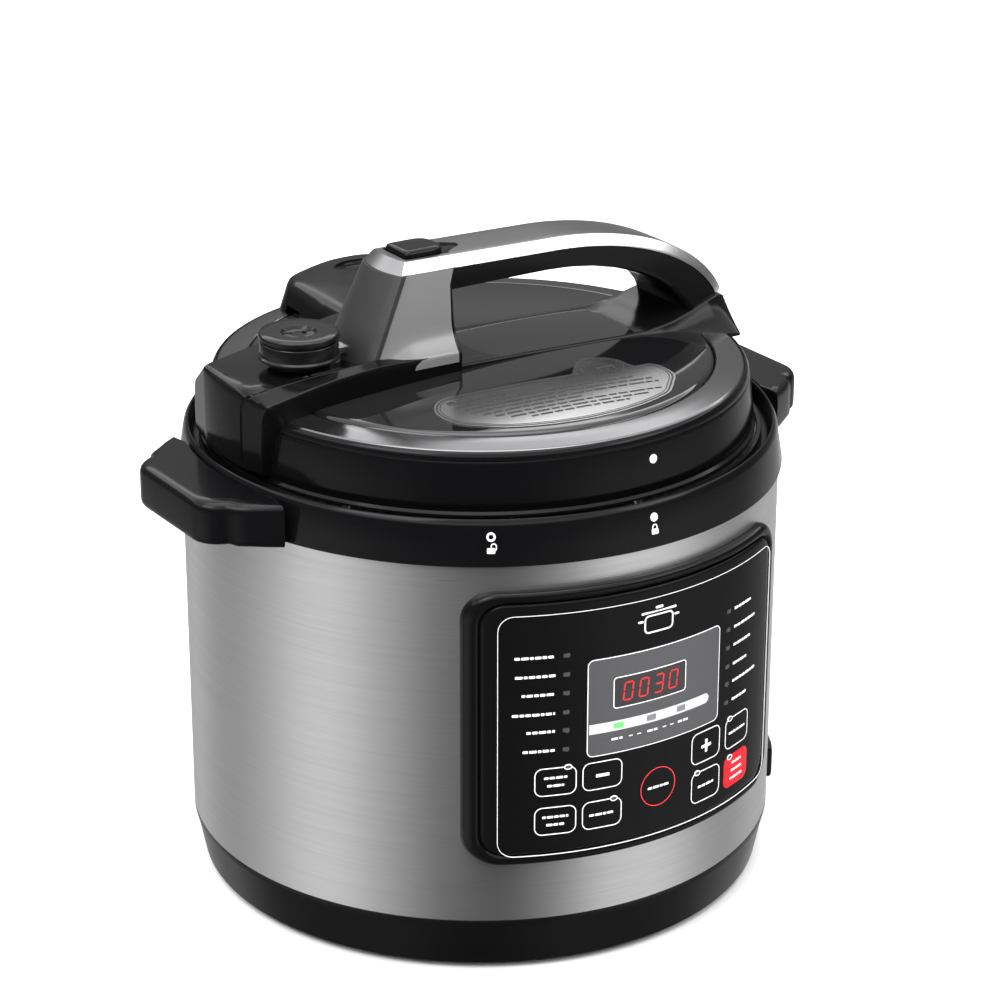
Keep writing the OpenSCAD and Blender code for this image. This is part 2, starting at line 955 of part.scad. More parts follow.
module handle_grip() {
    inner = curve_points(cap_t + 0.02, 18);
    floor_z = dome_z + 7;
    color([0.12, 0.12, 0.13])
        difference() {
            union() {
                across(grip_half_w)
                    polygon(concat([[pillar_back - 6, front_z(cap_t) - 0.72]], inner,
                            [[141.3, grip_end_z - 0.1], [141.8, floor_z], [70, floor_z],
                             [70, 306], [pillar_back - 6, 306]]));
                intersection() {
                    across(40)
                        polygon([[grip_front, front_z(cap_t) - 0.02], [pillar_back, front_z(cap_t) - 0.75],
                                 [pillar_back, floor_z], [-60, floor_z], [-60, wing_top + 0.02],
                                 [-77, wing_top + 0.02], [-68, 304]]);
                    along_x(-90, 0)
                        polygon([[-grip_half_w, 330], [-base_half + 1, 278], [base_half - 1, 278],
                                 [grip_half_w, 330]]);
                }
            }
            across(60)
                finger_opening();
            translate([button_x - 12.5, -11, button_z - button_travel - 0.8])
                cube([25, 22, 30]);
            translate([button_x, 0, 312])
                cylinder(r = 6.2, h = 20, $fn = 32);
            translate([button_x, 0, 270])
                cylinder(r = 3.6, h = 60, $fn = 32);
            translate([-92, -4.6, 276])
                cube([62, 9.2, 27]);
            translate([lever_x, 0, lever_z])
                rotate([90, 0, 0])
                    cylinder(r = 2, h = 16, center = true, $fn = 32);
            rotate_extrude($fn = 128)
                lid_outline(0.1);
        }
}

// Plan of the wing's broad side, which runs into the float valve's hood
module wing_flank(spread) {
    polygon([[-150, 0], [-150, 25 + spread], [-126, 34 + spread], [-92, 46.5 + spread],
             [-50.2, 62 + spread], [-50.2, base_half + 0.4], [-60, base_half + 0.4], [-60, 0]]);
}

// Lower moulding: the wing over the band, the rails beside the opening and the tail's foot
module handle_base() {
    rail_top = dome_z + 7;
    color([0.05, 0.05, 0.05])
        difference() {
            union() {
                intersection() {
                    disc(wing_r, collar_top + 0.6, wing_top);
                    union() {
                        along_x(-150, -60)
                            polygon([[-wing_half, collar_top], [16, collar_top], [16, wing_top],
                                     [-16, wing_top], [-wing_half, dome_z + 8]]);
                        linear_extrude(wing_top)
                            wing_flank(0);
                        linear_extrude(dome_z + 5)
                            wing_flank(10);
                    }
                }
                translate([-70, -base_half, dome_z - 4])
                    cube([160, 2 * base_half, rail_top - dome_z + 4]);
                intersection() {
                    disc(141.5, annulus_z - 3, rail_top);
                    translate([0, 0, annulus_z - 3])
                        linear_extrude(12)
                            polygon([[84, -base_half], [131, -38], [150, -38], [150, 38], [131, 38],
                                     [84, base_half]]);
                }
            }
            rotate_extrude($fn = 128)
                lid_outline(0.05);
            translate([valve_x, 0, 250])
                cylinder(r = 7.2, h = 60, $fn = 32);
            translate([-92, -4.6, dome_z + 6])
                cube([62, 9.2, 20]);
        }
}

module float_valve_hood() {
    t = 2.5;
    top = dome_z + 17;
    color([0.06, 0.06, 0.07])
        difference() {
            intersection() {
                disc(137.2, annulus_z - 3, top);
                translate([-50, wing_half + 0.4, annulus_z - 3])
                    cube([66, 150, 40]);
            }
            intersection() {
                disc(137.2 - t, annulus_z - 4, top - t);
                translate([-50 + t, wing_half + 0.4 + t, annulus_z - 4])
                    cube([66 - 2 * t, 150, 40]);
            }
            rotate_extrude($fn = 128)
                lid_outline(0.05);
            translate([-60, 78, dome_z - 6])
                cube([30, 38, 15]);
        }
}

module label_plate() {
    color([0.6, 0.6, 0.6])
        intersection() {
            rotate_extrude($fn = 128)
                polygon(concat([for (r = [0 : 14.5 : 116]) [r, dome_height(r) + 0.5]],
                               [for (r = [116 : -14.5 : 0]) [r, dome_height(r) + 0.02]]));
            translate([0, 0, 250])
                linear_extrude(60)
                    intersection() {
                        circle(r = 109.5);
                        union() {
                            translate([-2, -80])
                                round_rect(130, 66, 16);
                            translate([44, -50])
                                circle(r = 13);
                        }
                    }
        }
}

module lid_screws() {
    color([0.7, 0.7, 0.72])
        for (a = [15 : 60 : 315])
            rotate([0, 0, a])
                translate([108, 0, plate_z])
                    screw(1.4, 12, 3, 1.5);
}

valve_foot_z = wing_top + 1.5;

module pressure_valve() {
    color([0.08, 0.08, 0.09])
        translate([valve_x, 0, 0])
            difference() {
                union() {
                    disc(17, valve_foot_z, 293);
                    translate([0, 0, 292.4])
                        cylinder(r1 = 22, r2 = 19.6, h = 1.6);
                    disc(19.4, 293.8, 299.2);
                    disc(18.4, 299, 300.4);
                    disc(20, 300.2, 302.6);
                }
                disc(5.6, valve_foot_z - 1, pipe_top + 0.3);
                for (a = [0 : 120 : 240])
                    rotate([0, 0, a])
                        intersection() {
                            tube(6.5, 4.2, 299, 304);
                            sector(0, 42, 299, 304);
                        }
                translate([14, -5, valve_foot_z - 1])
                    cube([20, 10, 6.8]);
            }
}

module float_valve() {
    color([0.75, 0.2, 0.2])
        translate([float_x, float_y, 0])
            union() {
                disc(3, plate_z - 4, dome_z + 3);
                disc(6, plate_z - 5, plate_z - 3);
                disc(4.5, dome_z + 1.8, dome_z + 4);
            }
}

module release_button() {
    color([0.04, 0.04, 0.04])
        union() {
            translate([button_x - 12, -10.5, button_z])
                cube([24, 21, 9]);
            translate([button_x, 0, 298.6])
                cylinder(r = 3, h = 30, $fn = 32);
        }
}

module button_spring() {
    color([0.75, 0.75, 0.75])
        translate([button_x, 0, 0])
            coil(4.6, 0.6, 312.2, 326.4, 6);
}

// Rocker between the button's rod and the valve's foot
module release_lever() {
    half = 4;
    color([0.75, 0.75, 0.77])
        union() {
            across(half)
                polygon([[-87, 288.2], [-60, 288.2], [-56, 294], [-34, 295], [-34, 298],
                         [-60, 297], [-66, 291], [-87, 291]]);
            translate([lever_x, 0, lever_z])
                rotate([90, 0, 0])
                    cylinder(r = 3, h = 2 * half, center = true, $fn = 32);
            translate([lever_x, 0, lever_z])
                rotate([90, 0, 0])
                    cylinder(r = 1.95, h = 14, center = true, $fn = 32);
        }
}

base_housing();
base_cover();
rubber_feet();
base_screws();
outer_shell();
upper_collar();
left_side_handle();
right_side_handle();
side_handle_screws();
outer_pot();
bayonet_ring();
bayonet_screws();
inner_pot();
heating_plate();
heating_element();
spring_plate();
pressure_switch();
thermostat_sensor();
sensor_spring();
power_board();
power_relay();
transformer();
panel_frame();
panel_overlay();
display_window();
led_display();
control_board();
tact_switches();
indicator_leds();
power_inlet();
inlet_pins();
cup_bracket();
condensation_cup();
color([0.03, 0.03, 0.03]) key_cap(0);  // key_delay
color([0.03, 0.03, 0.03]) key_cap(1);  // key_pressure
color([0.03, 0.03, 0.03]) key_cap(2);  // key_minus
color([0.03, 0.03, 0.03]) key_cap(3);  // key_manual
color([0.03, 0.03, 0.03]) key_cap(4);  // key_select
color([0.03, 0.03, 0.03]) key_cap(5);  // key_plus
color([0.03, 0.03, 0.03]) key_cap(6);  // key_saute
color([0.03, 0.03, 0.03]) key_cap(7);  // key_slow_cook
color([0.8, 0.02, 0.04]) key_cap(8);  // key_cancel
sealing_ring();
seal_rack();
lid_plate();
lid_cover();
lid_band();
exhaust_pipe();
anti_block_shield();
handle_base();
handle_grip();
handle_cap();
float_valve_hood();
label_plate();
lid_screws();
pressure_valve();
float_valve();
release_button();
button_spring();
release_lever();
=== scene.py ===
import json
import math
import bpy
import bmesh
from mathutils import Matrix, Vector


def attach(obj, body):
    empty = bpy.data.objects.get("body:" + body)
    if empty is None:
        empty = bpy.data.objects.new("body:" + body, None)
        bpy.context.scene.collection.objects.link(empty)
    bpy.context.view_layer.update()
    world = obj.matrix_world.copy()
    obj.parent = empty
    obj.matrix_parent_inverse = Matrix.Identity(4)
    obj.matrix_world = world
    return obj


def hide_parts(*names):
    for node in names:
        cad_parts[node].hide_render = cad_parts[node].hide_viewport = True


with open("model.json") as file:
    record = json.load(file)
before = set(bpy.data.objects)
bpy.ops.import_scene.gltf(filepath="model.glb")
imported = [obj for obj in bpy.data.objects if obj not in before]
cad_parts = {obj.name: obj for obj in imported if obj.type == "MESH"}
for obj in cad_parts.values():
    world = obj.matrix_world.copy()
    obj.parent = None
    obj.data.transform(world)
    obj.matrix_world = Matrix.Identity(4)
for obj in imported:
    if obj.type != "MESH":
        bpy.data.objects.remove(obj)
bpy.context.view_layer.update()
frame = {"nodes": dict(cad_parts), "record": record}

MM = 0.001
TURN = 192           # steps round a full turn of a lathed piece
FACE_R = 158.3       # panel face, mm from the axis
MERGE = 2e-6         # points this close become one, in metres
INLET_TURN = 62      # mains inlet, degrees from the front towards the right
CUP_TURN = -45       # drip cup, degrees from the rear towards the right

# --- Mesh helpers; every length in them is in millimetres -----------------------------


def hit(value, low, high):
    return max(low, min(high, value))


def smoothstep(t):
    t = hit(t, 0.0, 1.0)
    return t * t * (3 - 2 * t)


def new_object(name, verts, faces, mats=(), face_mats=(), drop_slivers=True):
    """Object from points in millimetres, merged where they meet and facing outwards."""
    mesh = bpy.data.meshes.new(name)
    mesh.from_pydata([(x * MM, y * MM, z * MM) for x, y, z in verts], [], faces)
    for m in mats:
        mesh.materials.append(m)
    for poly, index in zip(mesh.polygons, face_mats):
        poly.material_index = index
    bm = bmesh.new()
    bm.from_mesh(mesh)
    bmesh.ops.remove_doubles(bm, verts=bm.verts, dist=MERGE)
    if drop_slivers:
        bmesh.ops.dissolve_degenerate(bm, edges=bm.edges, dist=MERGE / 2)
    bmesh.ops.recalc_face_normals(bm, faces=bm.faces)
    bm.to_mesh(mesh)
    bm.free()
    obj = bpy.data.objects.new(name, mesh)
    bpy.context.scene.collection.objects.link(obj)
    return obj


def piece(name, verts, faces, body, slot, mats, nodes=(), sharp=38, face_mats=()):
    """A mesh piece riding on a body, in place of the CAD nodes it names."""
    obj = new_object(name, verts, faces, mats if isinstance(mats, list) else [mats], face_mats)
    shade(obj, sharp)
    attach(obj, body)
    if nodes:
        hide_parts(*nodes)
    return obj


def shade(obj, sharp):
    for poly in obj.data.polygons:
        poly.use_smooth = True
    obj.data.set_sharp_from_angle(angle=math.radians(sharp))


def bake(obj, sharp=38):
    """Applies the object's modifiers to its mesh."""
    deps = bpy.context.evaluated_depsgraph_get()
    mesh = bpy.data.meshes.new_from_object(obj.evaluated_get(deps))
    obj.modifiers.clear()
    obj.data = mesh
    shade(obj, sharp)
    return obj


def bevel(obj, width, segments=3, angle=35, sharp=38):
    mod = obj.modifiers.new("bevel", "BEVEL")
    mod.width = width * MM
    mod.segments = segments
    mod.limit_method = "ANGLE"
    mod.angle_limit = math.radians(angle)
    mod.harden_normals = False
    return bake(obj, sharp)


def cut(obj, verts, faces, sharp=38):
    """Subtracts a closed shape from the piece."""
    tool = new_object("cutter", verts, faces, drop_slivers=False)
    mod = obj.modifiers.new("cut", "BOOLEAN")
    mod.operation = "DIFFERENCE"
    mod.solver = "EXACT"
    mod.object = tool
    bake(obj, sharp)
    bpy.data.objects.remove(tool)
    return obj


def grid(rows, wrap_rows=False, wrap_cols=True, cap=False):
    """Quads through rows of points; cap closes the first and last row."""
    n = len(rows[0])
    verts = [p for row in rows for p in row]
    faces = []
    last = len(rows) if wrap_rows else len(rows) - 1
    for i in range(last):
        j = (i + 1) % len(rows)
        for k in range(n if wrap_cols else n - 1):
            m = (k + 1) % n
            faces.append((i * n + k, i * n + m, j * n + m, j * n + k))
    if cap:
        faces.append(tuple(range(n)))
        faces.append(tuple(range((len(rows) - 1) * n, len(rows) * n)))
    return verts, faces


def join(*parts):
    verts, faces = [], []
    for v, f in parts:
        base = len(verts)
        verts += v
        faces += [tuple(i + base for i in face) for face in f]
    return verts, faces


def lathe(profile, closed=True, cx=0.0, cy=0.0, turn=TURN):
    """Turns (radius, height) points round a vertical axis."""
    angles_round = [2 * math.pi * k / turn for k in range(turn)]
    rows = [[(cx + r * math.cos(a), cy + r * math.sin(a), z) for a in angles_round] for r, z in profile]
    return grid(rows, wrap_rows=closed)


def turned(part, degrees, cx=0.0):
    """Part turned about the vertical axis, then moved along X."""
    t = math.radians(degrees)
    verts, faces = part
    return [(cx + x * math.cos(t) - y * math.sin(t), x * math.sin(t) + y * math.cos(t), z)
            for x, y, z in verts], faces


def rounded(points, radius, steps=4):
    """Rounds the corners of a closed outline of 2-D points."""
    out = []
    n = len(points)
    for i in range(n):
        p = Vector(points[i][:2])
        r = points[i][2] if len(points[i]) > 2 else radius
        a = Vector(points[i - 1][:2]) - p
        b = Vector(points[(i + 1) % n][:2]) - p
        reach = min(r, a.length * 0.49, b.length * 0.49)
        if reach < 1e-6:
            out.append(tuple(p))
            continue
        pa = p + a.normalized() * reach
        pb = p + b.normalized() * reach
        for s in range(steps + 1):
            t = s / steps
            q = pa * (1 - t) ** 2 + p * 2 * t * (1 - t) + pb * t * t
            out.append((q.x, q.y))
    return out


def rrect(w, h, r, steps=6, cx=0.0, cy=0.0):
    """Rectangle with round corners, as (across, up) points."""
    r = min(r, w / 2 - 1e-4, h / 2 - 1e-4)
    out = []
    for sx, sy, start in ((1, 1, 0), (-1, 1, 90), (-1, -1, 180), (1, -1, 270)):
        for s in range(steps + 1):
            t = math.radians(start + 90 * s / steps)
            out.append((cx + sx * (w / 2 - r) + r * math.cos(t), cy + sy * (h / 2 - r) + r * math.sin(t)))
    return out


def circle(cx, cy, rx, ry, steps=24):
    return [(cx + rx * math.cos(2 * math.pi * s / steps), cy + ry * math.sin(2 * math.pi * s / steps))
            for s in range(steps)]


def divide(a, b, count):
    """Points from a towards b in equal runs, without b."""
    shares = [s / count for s in range(count)]
    return [(a[0] + (b[0] - a[0]) * t, a[1] + (b[1] - a[1]) * t) for t in shares]


def pairs(outline):
    """Each point of a closed outline with the next."""
    return list(zip(outline, outline[1:] + outline[:1]))


def densify(outline, step):
    """Splits the edges of a closed outline into runs of about one step."""
    return [p for a, b in pairs(outline) for p in divide(a, b, max(1, int(math.dist(a, b) / step)))]


def on_cylinder(u, v, r):
    """Distance across the panel face and height to a point at radius r."""
    a = u / FACE_R
    return (r * math.sin(a), -r * math.cos(a), v)


def straight(u, v, r):
    """Distance measured straight across, as the panel's outline is cut."""
    return (u, -math.sqrt(max(r * r - u * u, 0.0)), v)


def slab(outline, top, bottom, place=on_cylinder, rings=5, edge=0.0):
    """Filled shape lying on the cylinder between two radii, curved with it."""
    n = len(outline)
    cx = sum(p[0] for p in outline) / n
    cy = sum(p[1] for p in outline) / n

    def ring(scale, r):
        return [place(cx + (u - cx) * scale, cy + (v - cy) * scale, r) for u, v in outline]

    scales = [s / rings for s in range(rings + 1)]
    rows = [ring(s, top) for s in scales[:-1]]
    if edge:
        size = min(max(abs(u - cx) for u, _ in outline), max(abs(v - cy) for _, v in outline))
        rows += [ring(1 - edge / size, top), ring(1 - 0.3 * edge / size, top - 0.3 * edge)]
        rows += [ring(1, top - edge)]
    else:
        rows += [ring(1, top)]
    rows += [ring(s, bottom) for s in reversed(scales)]
    return grid(rows)


def band(outer, inner, top, bottom, place=on_cylinder):
    """Closed strip between two outlines with the same number of points."""
    sides = ((outer, bottom), (outer, top), (inner, top), (inner, bottom))
    return grid([[place(u, v, r) for u, v in outline] for outline, r in sides], wrap_rows=True)


def outline_band(w, h, r, line, top, bottom, cx=0.0, cy=0.0, steps=6):
    """Printed line round a rectangle with round corners."""
    outer, inner = [], []
    inside = rrect(w - 2 * line, h - 2 * line, max(r - line, 0.2), steps, cx, cy)
    for (a, b), (c, d) in zip(pairs(rrect(w, h, r, steps, cx, cy)), pairs(inside)):
        count = max(1, int(math.dist(a, b) / 4))
        outer += divide(a, b, count)
        inner += divide(c, d, count)
    return band(outer, inner, top, bottom)


def level(outline, z):
    """Plan outline at a height."""
    return [(x, y, z) for x, y in outline]


def prism(outline, z0, z1):
    """Upright prism over a plan outline."""
    return grid([level(outline, z0), level(outline, z1)], cap=True)


# --- Materials ------------------------------------------------------------------------


class Nodes:
    """Small builder round a material's node tree."""

    def __init__(self, name):
        self.mat = bpy.data.materials.new(name)
        self.mat.use_nodes = True
        self.tree = self.mat.node_tree
        self.bsdf = self.tree.nodes["Principled BSDF"]

    def new(self, kind, **values):
        node = self.tree.nodes.new(kind)
        for key, value in values.items():
            if hasattr(node, key):
                setattr(node, key, value)
            else:
                node.inputs[key.replace("_", " ")].default_value = value
        return node

    def link(self, a, b):
        self.tree.links.new(a, b)

    def coords(self):
        return self.new("ShaderNodeTexCoord").outputs["Object"]

    def math(self, operation, a, b):
        """Result of an operation on an output and either another output or a number."""
        node = self.new("ShaderNodeMath", operation=operation)
        self.link(a, node.inputs[0])
        if isinstance(b, (int, float)):
            node.inputs[1].default_value = b
        else:
            self.link(b, node.inputs[1])
        return node.outputs[0]

    def noise(self, vector, scale, detail=3.0, rough=0.5):
        n = self.new("ShaderNodeTexNoise")
        n.inputs["Scale"].default_value = scale
        n.inputs["Detail"].default_value = detail
        n.inputs["Roughness"].default_value = rough
        self.link(vector, n.inputs["Vector"])
        return n.outputs["Fac"]

    def spread(self, fac, low, high, frm=(0.3, 0.7)):
        m = self.new("ShaderNodeMapRange")
        m.inputs["From Min"].default_value = frm[0]
        m.inputs["From Max"].default_value = frm[1]
        m.inputs["To Min"].default_value = low
        m.inputs["To Max"].default_value = high
        self.link(fac, m.inputs["Value"])
        return m.outputs["Result"]

    def tint(self, fac, a, b):
        mix = self.new("ShaderNodeMix", data_type="RGBA")
        mix.inputs["A"].default_value = (*a, 1)
        mix.inputs["B"].default_value = (*b, 1)
        self.link(fac, mix.inputs["Factor"])
        return mix.outputs["Result"]

    def bump(self, fac, strength, distance):
        b = self.new("ShaderNodeBump")
        b.inputs["Strength"].default_value = strength
        b.inputs["Distance"].default_value = distance
        self.link(fac, b.inputs["Height"])
        self.link(b.outputs["Normal"], self.bsdf.inputs["Normal"])

    def set(self, **values):
        for key, value in values.items():
            self.bsdf.inputs[key.replace("_", " ")].default_value = value
        return self


def moulded(name, dark, light, rough, spec=0.5, bump=0.02, vary=0.03):
    """Moulded plastic, rubber or paint: faint mottling, uneven polish and fine surface grain."""
    n = Nodes(name)
    v = n.coords()
    big = n.noise(v, 9.0, 4.0)
    n.link(n.tint(big, dark, light), n.bsdf.inputs["Base Color"])
    n.link(n.spread(big, rough - vary, rough + vary), n.bsdf.inputs["Roughness"])
    n.bump(n.noise(v, 900.0, 2.0), bump, 0.0002)
    n.set(IOR=1.5, Specular_IOR_Level=spec)
    return n.mat


def metal(name, dark, light, rough, bump=0.03, vary=0.05):
    """Plain metal: slightly uneven colour and polish."""
    n = Nodes(name)
    v = n.coords()
    fine = n.noise(v, 600.0, 3.0)
    n.link(n.tint(n.noise(v, 25.0, 4.0), dark, light), n.bsdf.inputs["Base Color"])
    n.link(n.spread(fine, rough - vary, rough + vary), n.bsdf.inputs["Roughness"])
    n.bump(fine, bump, 0.0002)
    n.set(Metallic=1.0)
    return n.mat


def brushed(name, dark, light, rough, fine, aniso):
    """Steel brushed round the body's axis: streaks follow the circumference."""
    n = Nodes(name)
    place = n.new("ShaderNodeSeparateXYZ")
    n.link(n.coords(), place.inputs["Vector"])
    around = n.math("ARCTAN2", place.outputs["X"], place.outputs["Y"])

    def streak(turns, height):
        v = n.new("ShaderNodeCombineXYZ")
        n.link(n.math("MULTIPLY", around, turns), v.inputs["X"])
        n.link(n.math("MULTIPLY", place.outputs["Z"], height), v.inputs["Z"])
        return n.noise(v.outputs[0], 1.0, 3.0, 0.6)

    both = n.math("ADD", streak(2.2, fine), streak(1.1, fine * 0.22))
    half = n.math("MULTIPLY", both, 0.5)
    n.link(n.tint(n.spread(half, 0, 1, (0.36, 0.64)), dark, light), n.bsdf.inputs["Base Color"])
    n.link(n.spread(half, rough + 0.035, rough - 0.035), n.bsdf.inputs["Roughness"])
    n.bump(half, 0.03, 0.0001)
    along = n.new("ShaderNodeTangent", direction_type="RADIAL", axis="Z")
    n.link(along.outputs[0], n.bsdf.inputs["Tangent"])
    # The quarter turn makes the highlights run up the wall
    n.set(Metallic=1.0, Anisotropic=aniso, Anisotropic_Rotation=0.25)
    return n.mat


def printed(name, colour, rough, glow=0.0):
    """Ink or a small lamp."""
    n = Nodes(name)
    f = n.noise(n.coords(), 1200.0, 2.0)
    n.link(n.tint(f, tuple(c * 0.93 for c in colour), colour), n.bsdf.inputs["Base Color"])
    n.link(n.spread(f, rough - 0.05, rough + 0.05), n.bsdf.inputs["Roughness"])
    if glow:
        n.set(Emission_Color=(*colour, 1), Emission_Strength=glow)
    return n.mat


def grey(value, blue):
    """Grey with its blue part given apart."""
    return (value, value, blue)


M = {
    "gloss": moulded("gloss_black", grey(0.0025, 0.003), grey(0.004, 0.0045), 0.15, 0.15, bump=0.012),
    "annulus": metal("rim_pearl", grey(0.14, 0.144), grey(0.155, 0.16), 0.16, bump=0.004, vary=0.008),
    "dome": moulded("dome_black", grey(0.004, 0.0045), grey(0.006, 0.0065), 0.05, 0.45, 0.003, 0.01),
    "nose": moulded("nose_black", grey(0.022, 0.023), grey(0.028, 0.029), 0.36, 0.4, bump=0.03),
    # Grey copy of the gloss black for the pillar's side faces: painted sheen standing for the light they
    # reflect.
    "cheek": moulded("cheek_painted_sheen", grey(0.155, 0.158), grey(0.175, 0.178), 0.2, 0.5, bump=0.006),
    "valve": moulded("valve_black", grey(0.004, 0.0045), grey(0.006, 0.0065), 0.17, 0.25, bump=0.01),
    "base": moulded("base_black", grey(0.003, 0.0035), grey(0.005, 0.0055), 0.25, 0.16, bump=0.03),
    "rubber": moulded("rubber_black", grey(0.018, 0.018), grey(0.03, 0.03), 0.7, 0.3, bump=0.2),
    "panel": moulded("panel_black", grey(0.003, 0.0033), grey(0.0045, 0.005), 0.22, 0.10, bump=0.004),
    "key": moulded("key_black", grey(0.003, 0.0033), grey(0.0045, 0.005), 0.24, 0.10, bump=0.008),
    "red_key": moulded("key_red", (0.56, 0.003, 0.012), (0.62, 0.004, 0.015), 0.3, 0.2, bump=0.01),
    "window": moulded("window_grey", grey(0.06, 0.063), grey(0.075, 0.079), 0.2, 0.4, bump=0.003),
    "led_box": moulded("led_window", (0.022, 0.020, 0.021), (0.03, 0.027, 0.028), 0.14, 0.4, bump=0.003),
    # Three tones of the handle cap's one silver: the top's dark tone is painted shade, the sloping edges'
    # bright tone a painted highlight, the front's tone painted light.
    "silver": metal("silver_painted_shade", grey(0.14, 0.144), grey(0.16, 0.164), 0.33, bump=0.004, vary=0.01),
    "silver_edge_highlight": metal("silver_painted_highlight", grey(0.71, 0.72), grey(0.74, 0.75), 0.25, bump=0.004, vary=0.01),
    "silver_front_lit": metal("silver_front_painted_light", grey(0.23, 0.235), grey(0.26, 0.265), 0.3, bump=0.004, vary=0.01),
    "plaque": metal("plaque_silver", grey(0.38, 0.385), grey(0.41, 0.415), 0.24, bump=0.002, vary=0.004),
    "plated": metal("plated_steel", grey(0.6, 0.6), grey(0.72, 0.72), 0.2),
    "steel": brushed("brushed_shell", grey(0.605, 0.608), grey(0.68, 0.683), 0.30, 2600.0, 0.8),
    "inner": brushed("brushed_inner", grey(0.60, 0.60), grey(0.70, 0.70), 0.24, 1400.0, 0.7),
    "alu": metal("cast_aluminium", grey(0.55, 0.55), grey(0.66, 0.66), 0.42, bump=0.08),
    "brass": metal("brass_blade", (0.66, 0.48, 0.18), (0.74, 0.56, 0.24), 0.25),
    "element": metal("element_oxide", (0.10, 0.085, 0.075), (0.16, 0.14, 0.12), 0.55, bump=0.15),
    "silicone": moulded("silicone_white", grey(0.70, 0.67), grey(0.78, 0.75), 0.5, 0.4, bump=0.05),
    "board": moulded("board_green", (0.02, 0.12, 0.05), (0.03, 0.17, 0.08), 0.4, 0.5, bump=0.05),
    "blue": moulded("relay_blue", (0.02, 0.07, 0.28), (0.03, 0.10, 0.36), 0.35, 0.5),
    "yellow": moulded("coil_yellow", (0.50, 0.34, 0.05), (0.62, 0.44, 0.09), 0.5, 0.4, bump=0.1),
    "white_part": moulded("switch_white", (0.66, 0.65, 0.60), (0.76, 0.75, 0.71), 0.45, 0.4),
    "cup": moulded("cup_frosted", (0.30, 0.31, 0.32), (0.36, 0.37, 0.38), 0.32, 0.5, bump=0.03),
    "float": moulded("float_red", (0.50, 0.02, 0.015), (0.60, 0.035, 0.025), 0.3, 0.5),
    # White and red print glow faintly: painted light, as printed ink gives off none.
    "ink": printed("ink_white_glowing", grey(0.86, 0.86), 0.4, 0.25),
    "ink_dark": printed("ink_dark", grey(0.010, 0.011), 0.6),
    "ink_red_glowing": printed("ink_red_glowing", (0.75, 0.02, 0.03), 0.4, 0.2),
    "ink_dim": printed("ink_dim", (0.05, 0.06, 0.06), 0.35),
    "digit": printed("digit_red", (0.62, 0.008, 0.012), 0.4, 0.12),
    "led_on": printed("led_green", (0.10, 0.85, 0.12), 0.35, 0.7),
    "led_off": printed("led_grey", grey(0.20, 0.21), 0.35),
    "bar": printed("stripe_light", (0.62, 0.63, 0.64), 0.35),
}

NODE_LOOK = {
    "black_plastic": "gloss", "base_plastic": "base", "shell_steel": "steel", "inner_steel": "inner",
    "plated_steel": "plated", "aluminium": "alu", "silver_trim": "silver", "label_metal": "plaque",
    "rubber": "rubber", "silicone": "silicone", "panel_black": "panel", "window_grey": "window",
    "key_black": "key", "key_red": "red_key", "led_red": "led_box", "led_clear": "ink_dim",
    "board_green": "board", "relay_blue": "blue", "coil_yellow": "yellow", "switch_white": "white_part",
    "cup_plastic": "cup", "element_steel": "element", "brass": "brass", "float_red": "float",
}
for row in frame["record"]["subparts"]:
    node = frame["nodes"][row["node"]]
    for holder in node.material_slots:
        holder.material = M[NODE_LOOK[row["material_slot"]]]

# --- Body: base ring, shell, collar, side grips ----------------------------------------

SHELL_R = 152.5

base_ring = piece("base_ring", *lathe([
    (60, 3), (146.0, 3), (147.0, 3.3), (147.6, 4.2), (151.9, 26.2), (152.45, 27.0), (152.45, 29.6),
    (152.1, 30.0), (150.8, 30.0), (150.8, 35.8), (148.6, 35.8), (144.4, 7.2), (60, 7.2)]),
    "base", "base_plastic", M["base"])
vent = prism(rounded([(85, -2), (119, -2), (119, 2), (85, 2)], 1.9), 1, 9)
cut(base_ring, *join(*[turned(vent, degrees) for degrees in range(0, 360, 15) if degrees % 45]))
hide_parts("base_housing")


def angle_steps(stops, step):
    out = []
    for a, b in zip(stops, stops[1:]):
        count = max(1, math.ceil((b - a) / step))
        out += [a + (b - a) * s / count for s in range(count)]
    return out


# The shell is a grid of angle and height, open behind the panel and at the inlet
INLET_HALF = math.degrees(14 / SHELL_R)
PANEL_HALF = 30.5
angles = angle_steps([-180, -PANEL_HALF, PANEL_HALF, INLET_TURN - INLET_HALF, INLET_TURN + INLET_HALF, 180],
                     1.5)
heights = [30.0, 32.6, 51.4, 71.5, 110.0, 150.0, 197.5, 210.0, 218.6]
verts, faces = [], []
for r in (SHELL_R, SHELL_R - 1):
    for z in heights:
        for t in map(math.radians, angles):
            verts.append((r * math.sin(t), -r * math.cos(t), z))
n_ang, n_h = len(angles), len(heights)


def shell_open(i, j):
    """Whether a cell of the grid is left out; a cell's lower corner stands for it."""
    if not 0 <= j < n_h - 1:
        return True
    a, z = angles[i % n_ang] + 0.1, heights[j] + 0.1
    return abs(a) < PANEL_HALF and 71.5 < z < 197.5 or abs(a - INLET_TURN) < INLET_HALF and 32.6 < z < 51.4


for j in range(n_h - 1):
    for i in range(n_ang):
        if shell_open(i, j):
            continue
        k = (i + 1) % n_ang
        low, high = j * n_ang, (j + 1) * n_ang
        back = n_h * n_ang
        faces.append((low + i, low + k, high + k, high + i))
        faces.append((back + low + i, back + high + i, back + high + k, back + low + k))
        for open_here, a, b in ((j == 0 or shell_open(i, j - 1), low + i, low + k),
                                (j == n_h - 2 or shell_open(i, j + 1), high + k, high + i),
                                (shell_open(i - 1, j), high + i, low + i),
                                (shell_open(i + 1, j), low + k, high + k)):
            if open_here:
                faces.append((a, b, back + b, back + a))
piece("outer_shell_skin", verts, faces, "base", "shell_steel", M["steel"], ("outer_shell",), sharp=30)

